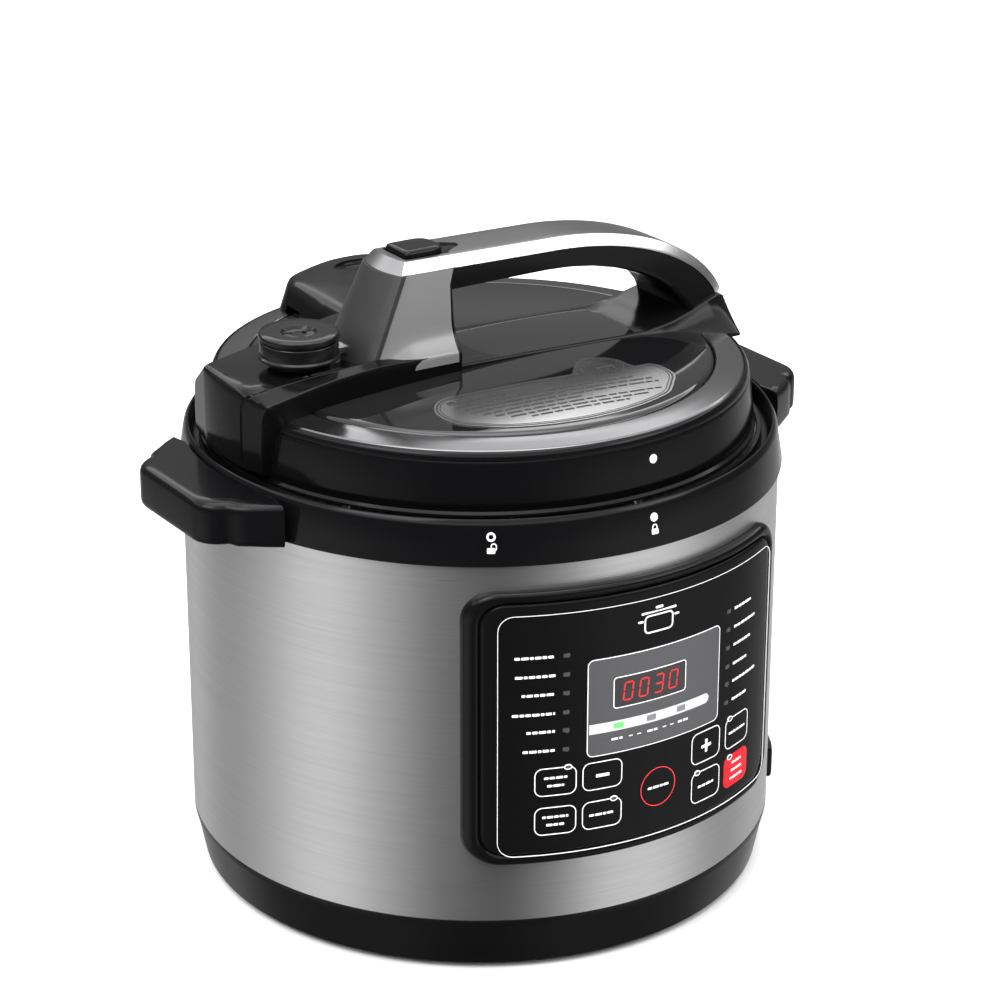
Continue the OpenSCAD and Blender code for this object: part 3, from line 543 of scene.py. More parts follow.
collar = piece("collar", *lathe([
    (151.4, 210.0), (151.4, 218.4), (153.4, 218.5), (154.1, 218.9), (154.2, 219.8), (151.35, 237.2),
    (151.0, 238.6), (150.4, 239.5), (149.9, 240.6), (149.4, 241.0), (148.8, 241.0), (148.3, 240.5),
    (148.1, 239.2),
    (148.1, 233.0), (147.3, 231.4), (145.5, 230.2), (143.6, 230.2), (143.2, 230.9), (143.2, 236.6),
    (142.9, 237.0), (140.9, 237.0), (140.6, 236.7), (140.6, 226.0), (131, 226.0), (131, 219.0),
    (148.8, 219.0), (148.8, 210.0)]), "base", "black_plastic", M["gloss"])
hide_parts("upper_collar")


def side_plan(inset):
    """Outline of the +X grip seen from above, drawn back by inset."""
    out = []
    for s in range(9):
        t = math.radians(75 * s / 8)
        out.append((180 - inset - 16 + 16 * math.cos(t), 47 - inset - 22 + 15 * math.sin(t)))
    return out + [(166 - inset, 44.5 - inset), (161 - inset, 48.2 - inset),
                  (155 - inset * 0.6, 52.5 - inset * 0.8), (147.2, 57.6 - inset)]


def side_grip(sign):
    def ring(inset, z):
        rows = side_plan(inset)
        points = [(x, -y) for x, y in reversed(rows)]
        points += [(180 - inset, y) for y in (-9 + inset * 0.3, 0, 9 - inset * 0.3)] + rows
        against_body = [(57 - inset) * (1 - 2 * s / 12) for s in range(1, 12)]
        points += [(math.sqrt(SHELL_R ** 2 - y * y), y) for y in against_body]
        return [(sign * x, y, z) for x, y in points]

    return grid([ring(inset, z) for inset, z in (
        (11, 230.3), (7, 230.1), (4.6, 228.5), (4.2, 218.6), (3.6, 217.7), (2.6, 217.4), (1.0, 217.8),
        (0.2, 219.2), (0, 221.0), (0, 234.4), (0.4, 236.6), (1.4, 238.2), (3.0, 238.9), (6, 239.0),
        (11, 239.05))], cap=True)


for name, sign in (("grip_right", 1), ("grip_left", -1)):
    side = piece(name, *side_grip(sign), "base", "black_plastic", M["gloss"], sharp=50)
    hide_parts("right_side_handle" if sign > 0 else "left_side_handle")


def leaning(foot_r, foot_z, slope):
    """Placing of marks on a leaning wall: u is degrees from the front, v the height."""
    def place(u, v, r):
        wall = foot_r - (v - foot_z) * slope + r
        t = math.radians(u)
        return (wall * math.sin(t), -wall * math.cos(t), v)
    return place


on_collar = leaning(154.2, 219.8, (154.2 - 151.35) / (237.2 - 219.8))
DEG = math.degrees(1 / 152.8)   # degrees for one millimetre round the collar


def padlock(cx, cz, opened):
    """Small padlock pictogram: body and shackle."""
    shift = 1.3 if opened else 0.0
    lock = [(cx + x * DEG, cz + y) for x, y in rrect(3.8, 2.6, 0.5)]
    outer, inner = ([(cx + (shift + x) * DEG, cz + y) for x, y in rrect(w, h, r, 5, 0, 1.7)]
                    for w, h, r in ((2.9, 3.8, 1.45), (1.9, 2.8, 0.95)))
    return [slab(lock, 0.14, -0.3, on_collar, 2), band(outer, inner, 0.12, -0.3, on_collar)]


# Printed marks of the twist lock, on the collar
UNLOCKED = -30.9     # degrees from the front
marks = [slab(circle(0, 233.6, 2.1 * DEG, 2.1), 0.14, -0.3, on_collar, 3),
         band(*[circle(UNLOCKED, 233.3, r * DEG, r) for r in (2.2, 1.2)], 0.14, -0.3, on_collar)]
marks += padlock(0, 226.7, False) + padlock(UNLOCKED, 226.7, True)
piece("lock_marks", *join(*marks), "base", "switch_white", M["ink"], sharp=50)

# --- Control panel --------------------------------------------------------------------

PANEL_Z, PANEL_W, PANEL_H = 134.5, 182.0, 144.0


def densify_fixed(outline):
    """Splits each straight run of a rounded outline into the same number of points at any inset."""
    return [p for i, (a, b) in enumerate(pairs(outline)) for p in divide(a, b, 1 if (i + 1) % 11 else 24)]


def panel_ring(inset, r):
    outline = rrect(PANEL_W - 2 * inset, PANEL_H - 2 * inset, max(15 - inset * 0.7, 2), 10, 0, PANEL_Z)
    return [straight(u, v, r) for u, v in densify_fixed(outline)]


frame_rows = [panel_ring(i, r) for i, r in (
    (4.0, 152.6), (0.3, 152.6), (0.05, 153.2), (0.0, 155.6), (0.5, 156.9), (1.4, 157.7), (2.4, 158.0),
    (3.6, 157.9), (4.6, 157.4), (5.4, 156.6), (5.9, 156.0), (6.4, 155.7), (9.0, 155.7), (9.0, 153.0))]
piece("panel_bezel", *grid(frame_rows, wrap_rows=True), "base", "base_plastic", M["gloss"], ("panel_frame",))

WINDOW = (1.5, 143.0, 79.0, 50.5)     # middle across, middle up, width, height
LED_BOX = (-3.7, 149.3, 41.4, 15.6)
TOP = 158.0                           # radius of the black face
FACE_BACK = 155.9
flat = densify_fixed(rrect(PANEL_W - 16.8, PANEL_H - 16.8, 9, 10, 0, PANEL_Z))


def drawn_in(k, r):
    """The flat face's outline, drawn in towards its middle."""
    return [straight(u * k, PANEL_Z + (v - PANEL_Z) * k, r) for u, v in flat]


face_rows = [panel_ring(inset, r) for inset, r in (
    (6.3, FACE_BACK), (6.1, 157.2), (6.5, 157.7), (7.2, 157.9), (8.4, TOP))]
face_rows += [drawn_in(1 - s / 12, TOP) for s in range(1, 13)]
face_rows += [drawn_in(s / 6, FACE_BACK) for s in range(7)] + [panel_ring(6.3, FACE_BACK)]
piece("panel_face", *grid(face_rows), "base", "panel_black", M["panel"], ("panel_overlay",))


def strip(u, low, high, top, bottom):
    """Upright cut through something flat on the face."""
    return [on_cylinder(u, v, r) for v, r in ((low, top), (high, top), (high, bottom), (low, bottom))]


def pane(cx, cz, w, h, r, top, bottom, columns=48):
    """Round-cornered pane in upright strips, so its curve stays true to the cylinder."""
    rows = []
    lo, hi = cx - w / 2, cx + w / 2
    corner = [r * (1 - math.cos(math.pi / 2 * s / 6)) for s in range(7)]
    stops = [lo + c for c in corner] + [lo + r + (w - 2 * r) * s / columns for s in range(1, columns)]
    for u in stops + [hi - c for c in reversed(corner)]:
        away = max(lo + r - u, u - hi + r, 0.0)
        half = h / 2 - r + math.sqrt(max(r * r - away * away, 0.0)) if away else h / 2
        rows.append(strip(u, cz - half, cz + half, top, bottom))
    return grid(rows, cap=True)


piece("display_glass", *pane(*WINDOW, 3.0, TOP + 0.12, TOP - 0.5), "base", "window_grey", M["window"],
      ("display_window",))
piece("display_led_glass", *pane(*LED_BOX, 1.6, TOP + 0.2, TOP - 0.3, 24), "base", "led_red", M["led_box"])


def dab(w, h, r, u, v, lift=0.1, rings=1, steps=2):
    """Small printed rectangle on the face."""
    return slab(rrect(w, h, r, steps, u, v), TOP + lift, TOP - 0.3, rings=rings)


def boxed(box, grow, r, line, lift, sink):
    """Printed line round a window."""
    cx, cz, w, h = box
    return outline_band(w + grow, h + grow, r, line, TOP + lift, TOP - sink, cx, cz)


# Frame line round the whole face; its left side stands nearer the middle than the right
LEFT_ARC, RIGHT_ARC = -82.5, 91.5
white = [boxed(((LEFT_ARC + RIGHT_ARC) / 2, 131.2, RIGHT_ARC - LEFT_ARC, 127.5), 0, 8, 0.27, 0.1, 0.3),
         boxed(WINDOW, 0.8, 3.2, 0.4, 0.16, 0.3), boxed(LED_BOX, 0.9, 1.8, 0.45, 0.26, 0.2)]
dim = []

# Light stripe under the digits, with its three pressure lamps
STRIPE_Z, STRIPE_END, STRIPE_HALF = 132, 31.2, 2.6
stripe_rows = []
stripe_stops = [-37.3 + 68.5 * s / 40 for s in range(41)]
stripe_stops += [STRIPE_END + STRIPE_HALF * math.sin(math.radians(15 * s)) for s in range(1, 7)]
for u in stripe_stops:
    half = math.sqrt(max(STRIPE_HALF ** 2 - max(u - STRIPE_END, 0) ** 2, 0.01))
    stripe_rows.append(strip(u, STRIPE_Z - half, STRIPE_Z + half, TOP + 0.2, TOP - 0.2))
piece("display_stripe", *grid(stripe_rows, cap=True), "base", "window_grey", M["bar"])
for name, arc_at, look in (("lamp_low", -21.7, "led_on"), ("lamp_medium", -3.4, "led_off"),
                           ("lamp_high", 14.8, "led_off")):
    piece(name, *slab(rrect(5.4, 3.0, 0.5, 3, arc_at, STRIPE_Z), TOP + 0.4, TOP - 0.2, rings=2, edge=0.15),
          "base", "led_clear", M[look])

# Seven-segment digits
SEGMENTS = {"0": "abcdef", "3": "abcdg"}
PLACES = {"a": (0, 1, 0), "b": (1, 0.5, 1), "c": (1, -0.5, 1), "d": (0, -1, 0), "e": (-1, -0.5, 1),
          "f": (-1, 0.5, 1), "g": (0, 0, 0)}
LEAN = 0.10


def segment(cu, cv, upright):
    """Bar with pointed ends."""
    side, tip = (4.3 if upright else 4.2) / 2, 0.85 / 2
    pts = [(-side, 0), (-side + tip, tip), (side - tip, tip), (side, 0), (side - tip, -tip),
           (-side + tip, -tip)]
    if upright:
        pts = [(-y, x) for x, y in pts]
    return [(cu + x + (cv + y) * LEAN, cv + y) for x, y in pts]


digits = []
for index, figure in enumerate("0030"):
    base_u = LED_BOX[0] + (index - 1.5) * 8.7
    for key in SEGMENTS[figure]:
        su, sv, upright = PLACES[key]
        outline = [(base_u + u, LED_BOX[1] + v) for u, v in segment(su * 2.35, sv * 4.6, upright)]
        digits.append(slab(outline, TOP + 0.3, TOP - 0.1, rings=1))
piece("display_digits", *join(*digits), "base", "led_red", M["digit"], sharp=50)


def bars(start, end, z, tall, seed, top=TOP + 0.1, bottom=TOP - 0.3, gap=0.6):
    """Row of plain printed bars in place of a caption."""
    out = []
    u, step = start, seed
    while u < end - 0.7:
        size = min((2.6, 3.6, 1.8, 3.1, 2.2)[step % 5], end - u)
        out.append(slab(rrect(size, tall, 0.3, 2, u + size / 2, z), top, bottom, rings=1))
        u += size + gap
        step += 1
    return out


# Rows of labels: height, width at the left, far end at the right
LABELS = ((173, 19.8, 68.6), (163.1, 19.5, 73.3), (153.4, 16.3, 70.2), (143.2, 20.9, 67), (133.8, 13.9, 75.8),
          (123.7, 15.7, 67.2))
for i, (z, left_w, right_end) in enumerate(LABELS):
    white += bars(-54.6 - left_w, -54.6, z, 1.3, i) + bars(53.3, right_end, z, 1.3, i + 3)
    dim += [dab(3.2, 2.0, 0.4, u, z, 0.12) for u in (-49.0, 48.3)]
for index, (start, end) in enumerate(((-25.6, -19.0), (-5.6, 1.2), (13.0, 19.5))):
    white += bars(start, end, 125, 1.1, index * 2 + 1, TOP + 0.2)
white += [dab(2.2, 0.5, 0.2, u, 125, 0.2) for u in (-15.0, -10.3, 4.6, 9.2)]

# Plain pot pictogram over the display
white.append(outline_band(17, 9.5, 2.6, 0.8, TOP + 0.1, TOP - 0.3, 0, 181.5))
white += [dab(20.5, 1.1, 0.5, 0, 187.6, rings=3, steps=3), dab(4.4, 1.3, 0.6, 0, 189.6, rings=2, steps=3)]
white += [dab(3.0, 1.1, 0.5, u, 183.6, rings=2, steps=3) for u in (-10.6, 10.6)]

piece("panel_print", *join(*white), "base", "switch_white", M["ink"], sharp=50)
piece("panel_label_lamps", *join(*dim), "base", "led_clear", M["ink_dim"], sharp=50)

# Keys: cap with a softened edge, its outline and its pictogram. Each has its middle across and up,
# height, corner radius, offset of its small lamp (None for no lamp) and the widths of its bars
KEYS = {
    "key_delay": (-54, 107, 16, 4.5, 6.2, (11.5, 8.5)),
    "key_pressure": (-54, 86, 16, 4.5, None, (13.0, 9.0)),
    "key_minus": (-30, 107, 16, 4.5, None, ()),
    "key_manual": (-30, 86, 16, 4.5, 6.2, (13.5,)),
    "key_select": (1.5, 93.5, 22, 11, None, (12.5,)),
    "key_plus": (33, 106, 18, 4.5, None, ()),
    "key_saute": (33.5, 84.5, 18, 4.5, -6.4, (11.5,)),
    "key_slow_cook": (58.5, 105.5, 18, 4.5, -6.6, (14.5,)),
    "key_cancel": (59, 84, 18, 4.5, -6.4, (8.5, 9.5, 11.5)),
}
KEY_W = 22
KEY_TOP = 158.3
INK_TOP, INK_FOOT = KEY_TOP + 0.1, KEY_TOP - 0.3
for name, (u, v, kh, kr, lamp_at, rows) in KEYS.items():
    red = name == "key_cancel"
    cap = slab(rrect(KEY_W, kh, kr, 8, u, v), KEY_TOP, 156.6, rings=6, edge=0.45)
    slot = "key_red" if red else "key_black"
    piece(name + "_cap", *cap, name, slot, M["red_key" if red else "key"], (name,))
    ink = [outline_band(KEY_W - 1.0, kh - 1.0, kr - 0.5, 0.45, INK_TOP, INK_FOOT, u, v, steps=8)]
    if name == "key_select":
        piece("key_select_rim", *join(*ink), name, "key_red", M["ink_red_glowing"], sharp=50)
    if name in ("key_select", "key_cancel"):
        ink = []
    if lamp_at:
        lamp = (u + lamp_at, v + kh / 2 - 0.9)
        ink.append(band(circle(*lamp, 2.1, 1.4, 16), circle(*lamp, 1.6, 0.9, 16), KEY_TOP + 0.16, INK_FOOT))
        piece(name + "_lamp", *slab(circle(*lamp, 1.7, 1.0, 16), KEY_TOP + 0.12, INK_FOOT, rings=2),
              name, slot, M["ink_dim"])
    strokes = {"key_minus": ((7.0, 1.6),), "key_plus": ((7.0, 1.6), (1.6, 7.0))}.get(name, ())
    for wide, tall in strokes:
        ink.append(slab(rrect(wide, tall, 0.3, 2, u, v), KEY_TOP + 0.12, INK_FOOT, rings=2))
    for i, wide in enumerate(rows):
        row_z = v + (len(rows) - 1) * 2.1 - i * 4.2
        ink += bars(u - wide / 2, u + wide / 2, row_z, 1.2, i + len(name), INK_TOP, INK_FOOT, 0.5)
    piece(name + "_print", *join(*ink), name, "switch_white", M["ink"], sharp=50)

# --- Lid: band, rim, dome --------------------------------------------------------------

piece("lid_band_skin", *lathe([
    (128, 242.4), (136.4, 242.4), (136.4, 238.6), (137.2, 237.9), (139.6, 237.9), (140.1, 238.4),
    (140.0, 239.4), (138.8, 240.6), (138.8, 243.0), (139.0, 243.6), (138.95, 245.0), (136.75, 262.4),
    (136.5, 263.6), (136.1, 264.4), (136.3, 265.0), (136.2, 266.0), (135.5, 267.6), (134.7, 268.7),
    (133.9, 269.0), (133.6, 268.4), (133.6, 266.5), (128, 266.5)]),
    "lid", "black_plastic", M["gloss"], ("lid_band",))


def dome_z(r):
    return 271.8 + 4.7 * (1 - (r / 116) ** 2)


dome_profile = [(r, dome_z(r)) for r in (0.0, 8, 20, 35, 50, 65, 80, 92, 102, 110, 114.5)]
dome_profile += [(115.8, 271.8), (116.6, 271.6), (117.4, 271.1), (118.1, 270.4), (118.4, 269.6)]
dome_profile += [(118.4, 268.5), (100, 266.0), (0, 266.0)]
piece("lid_dome", *lathe(dome_profile, closed=False), "lid", "black_plastic", M["dome"], ("lid_cover",))
piece("lid_rim", *lathe([
    (118.6, 269.6), (119.0, 270.5), (119.6, 270.75), (120.0, 270.74), (126.0, 270.02), (132.1, 269.29),
    (132.5, 269.24), (133.1, 269.0), (133.6, 268.6), (133.6, 267.0), (118.4, 267.0)]),
    "lid", "black_plastic", M["annulus"], sharp=50)
on_band = leaning(139.0, 243.6, (139.0 - 136.6) / (263.6 - 243.6))
piece("lid_mark", *slab(circle(4.0, 256.4, 2.2 * DEG * 1.12, 2.2), 0.14, -0.4, on_band, 3),
      "lid", "switch_white", M["ink"], sharp=50)

# --- Lid handle: wing, pillar, cap, arch, tail -----------------------------------------

# Sections across the wing at each x: near edge, near ridge and middle, then the far ridge, edge
# and foot; the far side spreads into the float valve's hood
SPAN = [(-28.6, -28.0, 284.7, -24.0, 285.2, 61.5, 70.0, 279.0, 72.0, 270.0),
        (-50.0, -28.0, 286.0, -23.5, 286.6, 61.5, 70.0, 279.0, 72.0, 270.0),
        (-66.0, -28.1, 286.6, -23.0, 287.8, 55.8, 64.5, 278.4, 66.8, 270.0),
        (-76.0, -28.2, 286.8, -22.8, 288.2, 52.3, 61.2, 278.0, 63.6, 269.7),
        (-88.0, -28.4, 286.0, -22.2, 287.4, 48.0, 57.1, 277.5, 59.8, 269.4),
        (-100.0, -28.6, 285.0, -21.6, 286.4, 43.7, 53.0, 277.0, 56.0, 269.0),
        (-111.0, -29.1, 283.7, -21.0, 285.8, 39.8, 50.0, 276.6, 53.4, 268.6),
        (-120.0, -29.6, 282.2, -20.7, 284.9, 36.4, 47.6, 276.2, 51.4, 268.2),
        (-126.5, -30.1, 281.3, -20.4, 284.4, 34.0, 46.0, 276.0, 50.0, 268.0)]
# The end: near foot, near edge, near ridge, middle, far ridge, far edge, far foot and its root
END = [
    ((-129.8, -31.6, 266.6), (-133.0, -30.8, 280.3), (-133.0, -20.2, 283.8), (-133.0, 0, 284.3),
     (-133.0, 31.5, 284.0), (-130.5, 46.5, 273.9), (-129.8, 54.0, 268.0), (-124.8, 53.6, 262.0)),
    ((-132.2, -30.4, 265.8), (-138.0, -31.2, 279.6), (-138.0, -19.8, 282.8), (-138.0, 0, 284.0),
     (-138.5, 29.4, 284.0), (-133.6, 47.0, 271.6), (-132.3, 54.8, 267.5), (-124.6, 54.0, 261.0)),
    ((-133.0, -29.2, 264.8), (-140.5, -31.4, 279.1), (-141.0, -19.2, 282.2), (-141.3, 0, 283.8),
     (-141.5, 28.2, 283.9), (-136.0, 47.1, 270.9), (-133.2, 55.0, 267.0), (-124.5, 54.2, 260.0)),
    ((-133.4, -28.4, 263.6), (-141.1, -30.2, 277.3), (-142.8, -18.3, 281.3), (-143.6, 0, 283.0),
     (-143.0, 27.6, 283.3), (-137.2, 47.2, 270.5), (-133.4, 55.2, 266.0), (-124.4, 54.4, 259.0)),
    ((-133.6, -27.8, 262.0), (-141.4, -28.5, 275.0), (-144.4, -16.6, 279.8), (-145.2, 0, 281.4),
     (-143.5, 27.5, 281.8), (-137.9, 47.4, 269.6), (-133.4, 55.6, 265.0), (-124.4, 54.4, 258.0)),
    ((-133.9, -27.2, 259.0), (-141.6, -27.2, 270.8), (-145.3, -14.3, 276.3), (-146.0, 0, 277.4),
     (-143.5, 27.2, 277.8), (-137.6, 48.8, 265.6), (-133.2, 56.2, 263.0), (-124.4, 54.4, 257.0)),
]
for z, back in ((255.0, 0.0), (244.2, 0.0), (243.3, 0.3), (242.6, 1.0)):
    END.append(((-134.4, -26.0, z), (-141.7 + back, -26.0, z), (-145.4 + back, -13.5, z),
                (-146.0 + back, 0, z), (-143.5 + back, 27.0, z), (-137.0 + back, 50.3, z),
                (-133.0 + 0.6 * back, 56.3, z), (-124.4, 54.4, z)))


ALONG = (0.0, 0.12, 0.5, 0.88)       # shares of each flank at which it has points


def flanks(*corners):
    """Points along the straight runs between corners, without the last corner."""
    return [tuple(a + (b - a) * t for a, b in zip(start, end)) for start, end in zip(corners, corners[1:])
            for t in ALONG]


def wing():
    sections = []
    for x, edge_y, edge_z, ridge_y, ridge_z, far_ridge, far_y, far_z, foot_y, foot_z in SPAN:
        sections.append(((x, edge_y - 0.6, 269.0), (x, edge_y, edge_z), (x, ridge_y, ridge_z), (x, 0, 284.4),
                         (x, far_ridge, 284.0), (x, far_y, far_z), (x, foot_y, foot_z),
                         (x, foot_y - 0.5, 265.5)))
    rows = []
    for near_foot, near_edge, near_ridge, middle, far_ridge, far_edge, far_foot, root in sections + END:
        row = flanks(near_foot, near_edge, near_ridge)
        for ridge, shares in ((near_ridge, (1.0, 0.96, 0.9, 0.82, 0.72, 0.55, 0.3)),
                              (far_ridge, (0.0, 0.3, 0.55, 0.72, 0.82, 0.9, 0.96))):
            for t in shares:
                rise = smoothstep((t - 0.62) / 0.38)
                row.append((middle[0] + (ridge[0] - middle[0]) * t * t, ridge[1] * t,
                            middle[2] + (ridge[2] - middle[2]) * rise))
        rows.append(row + flanks(far_ridge, far_edge, far_foot) + [far_foot, root])
    return grid(rows, cap=True)


def tube(path, sides=8):
    """Closed round bar along the wing's ridge, thicker towards its end."""
    rows = []
    for i, p in enumerate(path):
        along = (Vector(path[min(i + 1, len(path) - 1)]) - Vector(path[max(i - 1, 0)])).normalized()
        side = along.cross(Vector((0, 1, 0))).normalized()
        up = along.cross(side)
        turns = [2 * math.pi * s / sides for s in range(sides)]
        radius = hit(0.55 + (-118 - p[0]) / 30, 0.55, 1.3)
        rows.append([tuple(Vector(p) + radius * (side * math.cos(t) + up * math.sin(t))) for t in turns])
    return grid(rows, cap=True)


wing_piece = piece("handle_wing", *wing(), "lid", "black_plastic", M["gloss"], sharp=60)
bevel(wing_piece, 0.55, 2, 16, 60)
groove = [(x, y, z + 0.1) for x, _, _, y, z, *_ in SPAN[3:]]
groove += [(row[2][0] - 0.15, row[2][1], row[2][2] + 0.1) for row in END[:6]]
groove += [(-145.6, -13.7, 269.0), (-145.6, -13.5, 247.0)]
cut(wing_piece, *tube(groove), sharp=60)


def profile_at(table, key):
    """Linear look-up in rows of (key, value, ...)."""
    if key <= table[0][0]:
        return table[0][1:]
    for a, b in zip(table, table[1:]):
        if key <= b[0]:
            t = (key - a[0]) / (b[0] - a[0])
            return tuple(p + (q - p) * t for p, q in zip(a[1:], b[1:]))
    return table[-1][1:]


# Pillar: height, x of its front corners, half width at the front, bulge of the front face
PILLAR = [(281, -78.4, 22.2, 4.6), (285, -76.6, 21.9, 4.8), (289.5, -74.5, 21.5, 5.0),
          (295, -71.9, 21.0, 5.1), (300, -69.6, 20.6, 5.2), (306, -66.8, 20.1, 5.0), (312, -64.0, 19.5, 4.8),
          (318, -61.2, 19.0, 4.5), (323, -58.9, 18.5, 4.2), (326.4, -57.3, 18.2, 4.0)]
PILLAR_HEIGHTS = (281, 284.4, 285.5, 286.8, 288.2, 289.6, 291, 293, 295, 297.5, 300, 303, 306, 312, 318, 323,
                  326.4)
BACK_X = -28.6
SIDE_STEPS = (0.05, 0.18, 0.32, 0.46, 0.6, 0.74, 0.86, 0.955)
FRONT_POINTS = 17


def flare(z, share):
    """How far the side face spreads towards the foot, more so at the rear."""
    return (5.6 + 0.8 * share) * hit((301 - z) / 15.5, 0, 1) ** 1.9 * smoothstep(share * 2.2 + 0.05)


def pillar(lift, back, grow, foot, spread=1.0):
    """Pillar from a height upwards: its front moved out by lift, its rear at back(z)."""
    rows = []
    for z in (z for z in PILLAR_HEIGHTS if z >= foot):
        x, w, bulge = profile_at(PILLAR, z)
        w += grow
        front = []
        for s in range(FRONT_POINTS):
            y = -w + 2 * w * s / (FRONT_POINTS - 1)
            edge = abs(y) / w
            round_off = 0.7 * max(0.0, (edge - 0.86) / 0.14) ** 2
            front.append((x - lift - bulge * (1 - edge ** 2) + round_off, y, z))
        b = back(z)
        wb = w + 0.3
        side = [(x + (b - x) * t, w + (wb - w) * t + spread * flare(z, t), z) for t in SIDE_STEPS]
        wb += spread * flare(z, 1.0)
        rear = [(b - 0.5, wb, z), (b, wb - 0.6, z), (b, 0, z), (b, -wb + 0.6, z), (b - 0.5, -wb, z)]
        rows.append(front + side + rear + [(px, -py, pz) for px, py, pz in reversed(side)])
    return grid(rows, cap=True)


def pillar_back(z):
    return BACK_X + max(0.0, (z - 318) * 0.3)


def nose_back(z):
    return profile_at(PILLAR, z)[0] + 2.6


post = pillar(0, pillar_back, 0, 270)
count = FRONT_POINTS + 2 * len(SIDE_STEPS) + 5
# Side faces of the pillar take the grey copy: painted sheen.
sheen_faces = [*range(17, 24), *range(count - 8, count - 1)]
piece("handle_pillar", *post, "lid", "black_plastic", [M["gloss"], M["cheek"]], sharp=35,
      face_mats=[1 if i % count in sheen_faces else 0 for i in range(len(post[1]))])
piece("handle_nose", *pillar(0.55, nose_back, 0.35, 284, 0.0), "lid", "black_plastic", M["nose"], sharp=50)

# Curve of the handle's top
CURVE_X0, CURVE_A, CURVE_H, DOME_RIM_Z = 30.0, 114.0, 59.0, 271.8


def top_curve(s, inset):
    """s from 0 at the front to 1 at the tail; returns x and z at a depth under the crest."""
    end = math.asin(11 / (CURVE_H - inset))
    if s < 0.42:
        x = -61 + (CURVE_X0 + 61) * s / 0.42
        return x, DOME_RIM_Z + CURVE_H - inset + 0.02 * (CURVE_X0 - x)
    t = math.pi / 2 - (math.pi / 2 - end) * (s - 0.42) / 0.58
    return CURVE_X0 + (CURVE_A - inset) * math.cos(t), DOME_RIM_Z + (CURVE_H - inset) * math.sin(t)


CAP_DEEP = 6.0
# Half of the cap's section: distance from the middle, depth under the crest
CAP_SECTION = ((0, 0.0), (5, 0.02), (10, 0.08), (13.2, 0.2), (14.0, 0.36), (14.5, 0.75), (17.4, 4.9),
               (17.8, 5.4), (18.0, 6.0))


def handle_cap():
    stations = [0, 0.02, 0.04] + [0.04 + (0.97 - 0.04) * s / 58 for s in range(1, 59)] + [0.98, 0.99, 1.0]
    rows = []
    for s in stations:
        tail = hit((s - 0.975) / 0.025, 0, 1)
        half = []
        for y, d in CAP_SECTION:
            x, z = top_curve(s, min(max(d, 2.4 * tail), CAP_DEEP))
            half.append((x, y * (1 - 0.10 * tail), z))
        under_x, under_z = top_curve(s, CAP_DEEP + 0.01)
        under = [(under_x, y, under_z) for y in (12, 6, 0, -6, -12)]
        rows.append([(x, -y, z) for x, y, z in reversed(half)] + half[1:] + under)
    return grid(rows, cap=True)


def cap_front(z, y):
    """Sloping, bulging front of the cap."""
    return -57.2 + (z - 326.4) * 0.98 - 4.0 * (1 - min(1.0, (y / 18) ** 2))


def paint_cap_light(obj):
    """Paints light on the cap by face direction: a painted highlight on its sloping edges and painted light
    on its front, against the painted shade of its darker top.
    """
    obj.data.materials.append(M["silver_edge_highlight"])
    obj.data.materials.append(M["silver_front_lit"])
    for poly in obj.data.polygons:
        if poly.normal.x < -0.45 and poly.center.x < -0.045:
            poly.material_index = 2
        elif poly.normal.z < 0.93 and abs(poly.normal.y) > 0.25:
            poly.material_index = 1


cap = piece("handle_cap_skin", *handle_cap(), "lid", "silver_trim", M["silver"], ("handle_cap",), sharp=24)
ys = [-20 + 40 * s / 20 for s in range(21)]
front_cut = [[(cap_front(z, y), y, z) for y in ys] + [(-90, y, z) for y in reversed(ys)] for z in (320, 340)]
cut(cap, *grid(front_cut, cap=True), sharp=24)
well = [(-50.9, -11.2), (-25.1, -11.2), (-25.1, -9.6), (-14.2, -2.2), (-13.6, 0)]
well += [(x, -y) for x, y in reversed(well[:-1])]
cut(cap, *prism(rounded(well, 1.6), 327.4, 345), sharp=24)
paint_cap_light(cap)
well_floor = densify(rounded([(x * 0.985 - 0.5, y * 0.985) for x, y in well], 1.4), 3)
floor_rows = [[(x, y, 327.6 + hit((x + 25) * 0.27, 0, 3.6)) for x, y in well_floor], level(well_floor, 327.0)]
piece("button_well", *grid(floor_rows, cap=True), "lid", "black_plastic", M["gloss"], sharp=30)

BUTTON_X = -38
pad_rows = []
for inset, z in ((1.4, 328.2), (0.2, 328.6), (0, 329.4), (0, 333.6), (0.5, 334.8), (1.5, 335.35),
                 (3.0, 335.5), (6, 335.5)):
    a, b = 11.8 - inset, 10.4 - inset
    pad = rounded([(-a, -b, 2.4), (a, -b, 8.0), (a, b, 8.0), (-a, b, 2.4)], 2.4, 6)
    pad_rows.append([(x + BUTTON_X, y, z) for x, y in pad])
stem = lathe([(0, 298.8), (2.9, 298.8), (2.9, 329), (0, 329)], cx=BUTTON_X, turn=32)
piece("button_pad", *join(grid(pad_rows, cap=True), stem), "release_button", "key_black", M["gloss"],
      ("release_button",), sharp=40)

# Arch under the cap, from the pillar to the tail: share of the top curve, x and z of the opening's
# edge, half width there. From its highest point on, that edge is part of an ellipse
ARCH = [(0.150, -33, 313.6, 17.0), (0.30, -2, 313.9, 16.8)]
for degrees, wide in ((90, 16.8), (80, 16.9), (70, 17.1), (60, 17.5), (50, 18.3), (40, 19.4), (30, 20.8),
                      (20, 22.6), (13, 24.2), (6, 26.0)):
    t = math.radians(degrees)
    share = 0.42 + 0.58 * (90 - degrees) / 84.0
    ARCH.append((share, 30 + 85 * math.cos(t), 271.8 + 42.1 * math.sin(t), wide))
BUTTON_ROOM = 4.2    # depth of the channel under the cap, for the pressed button


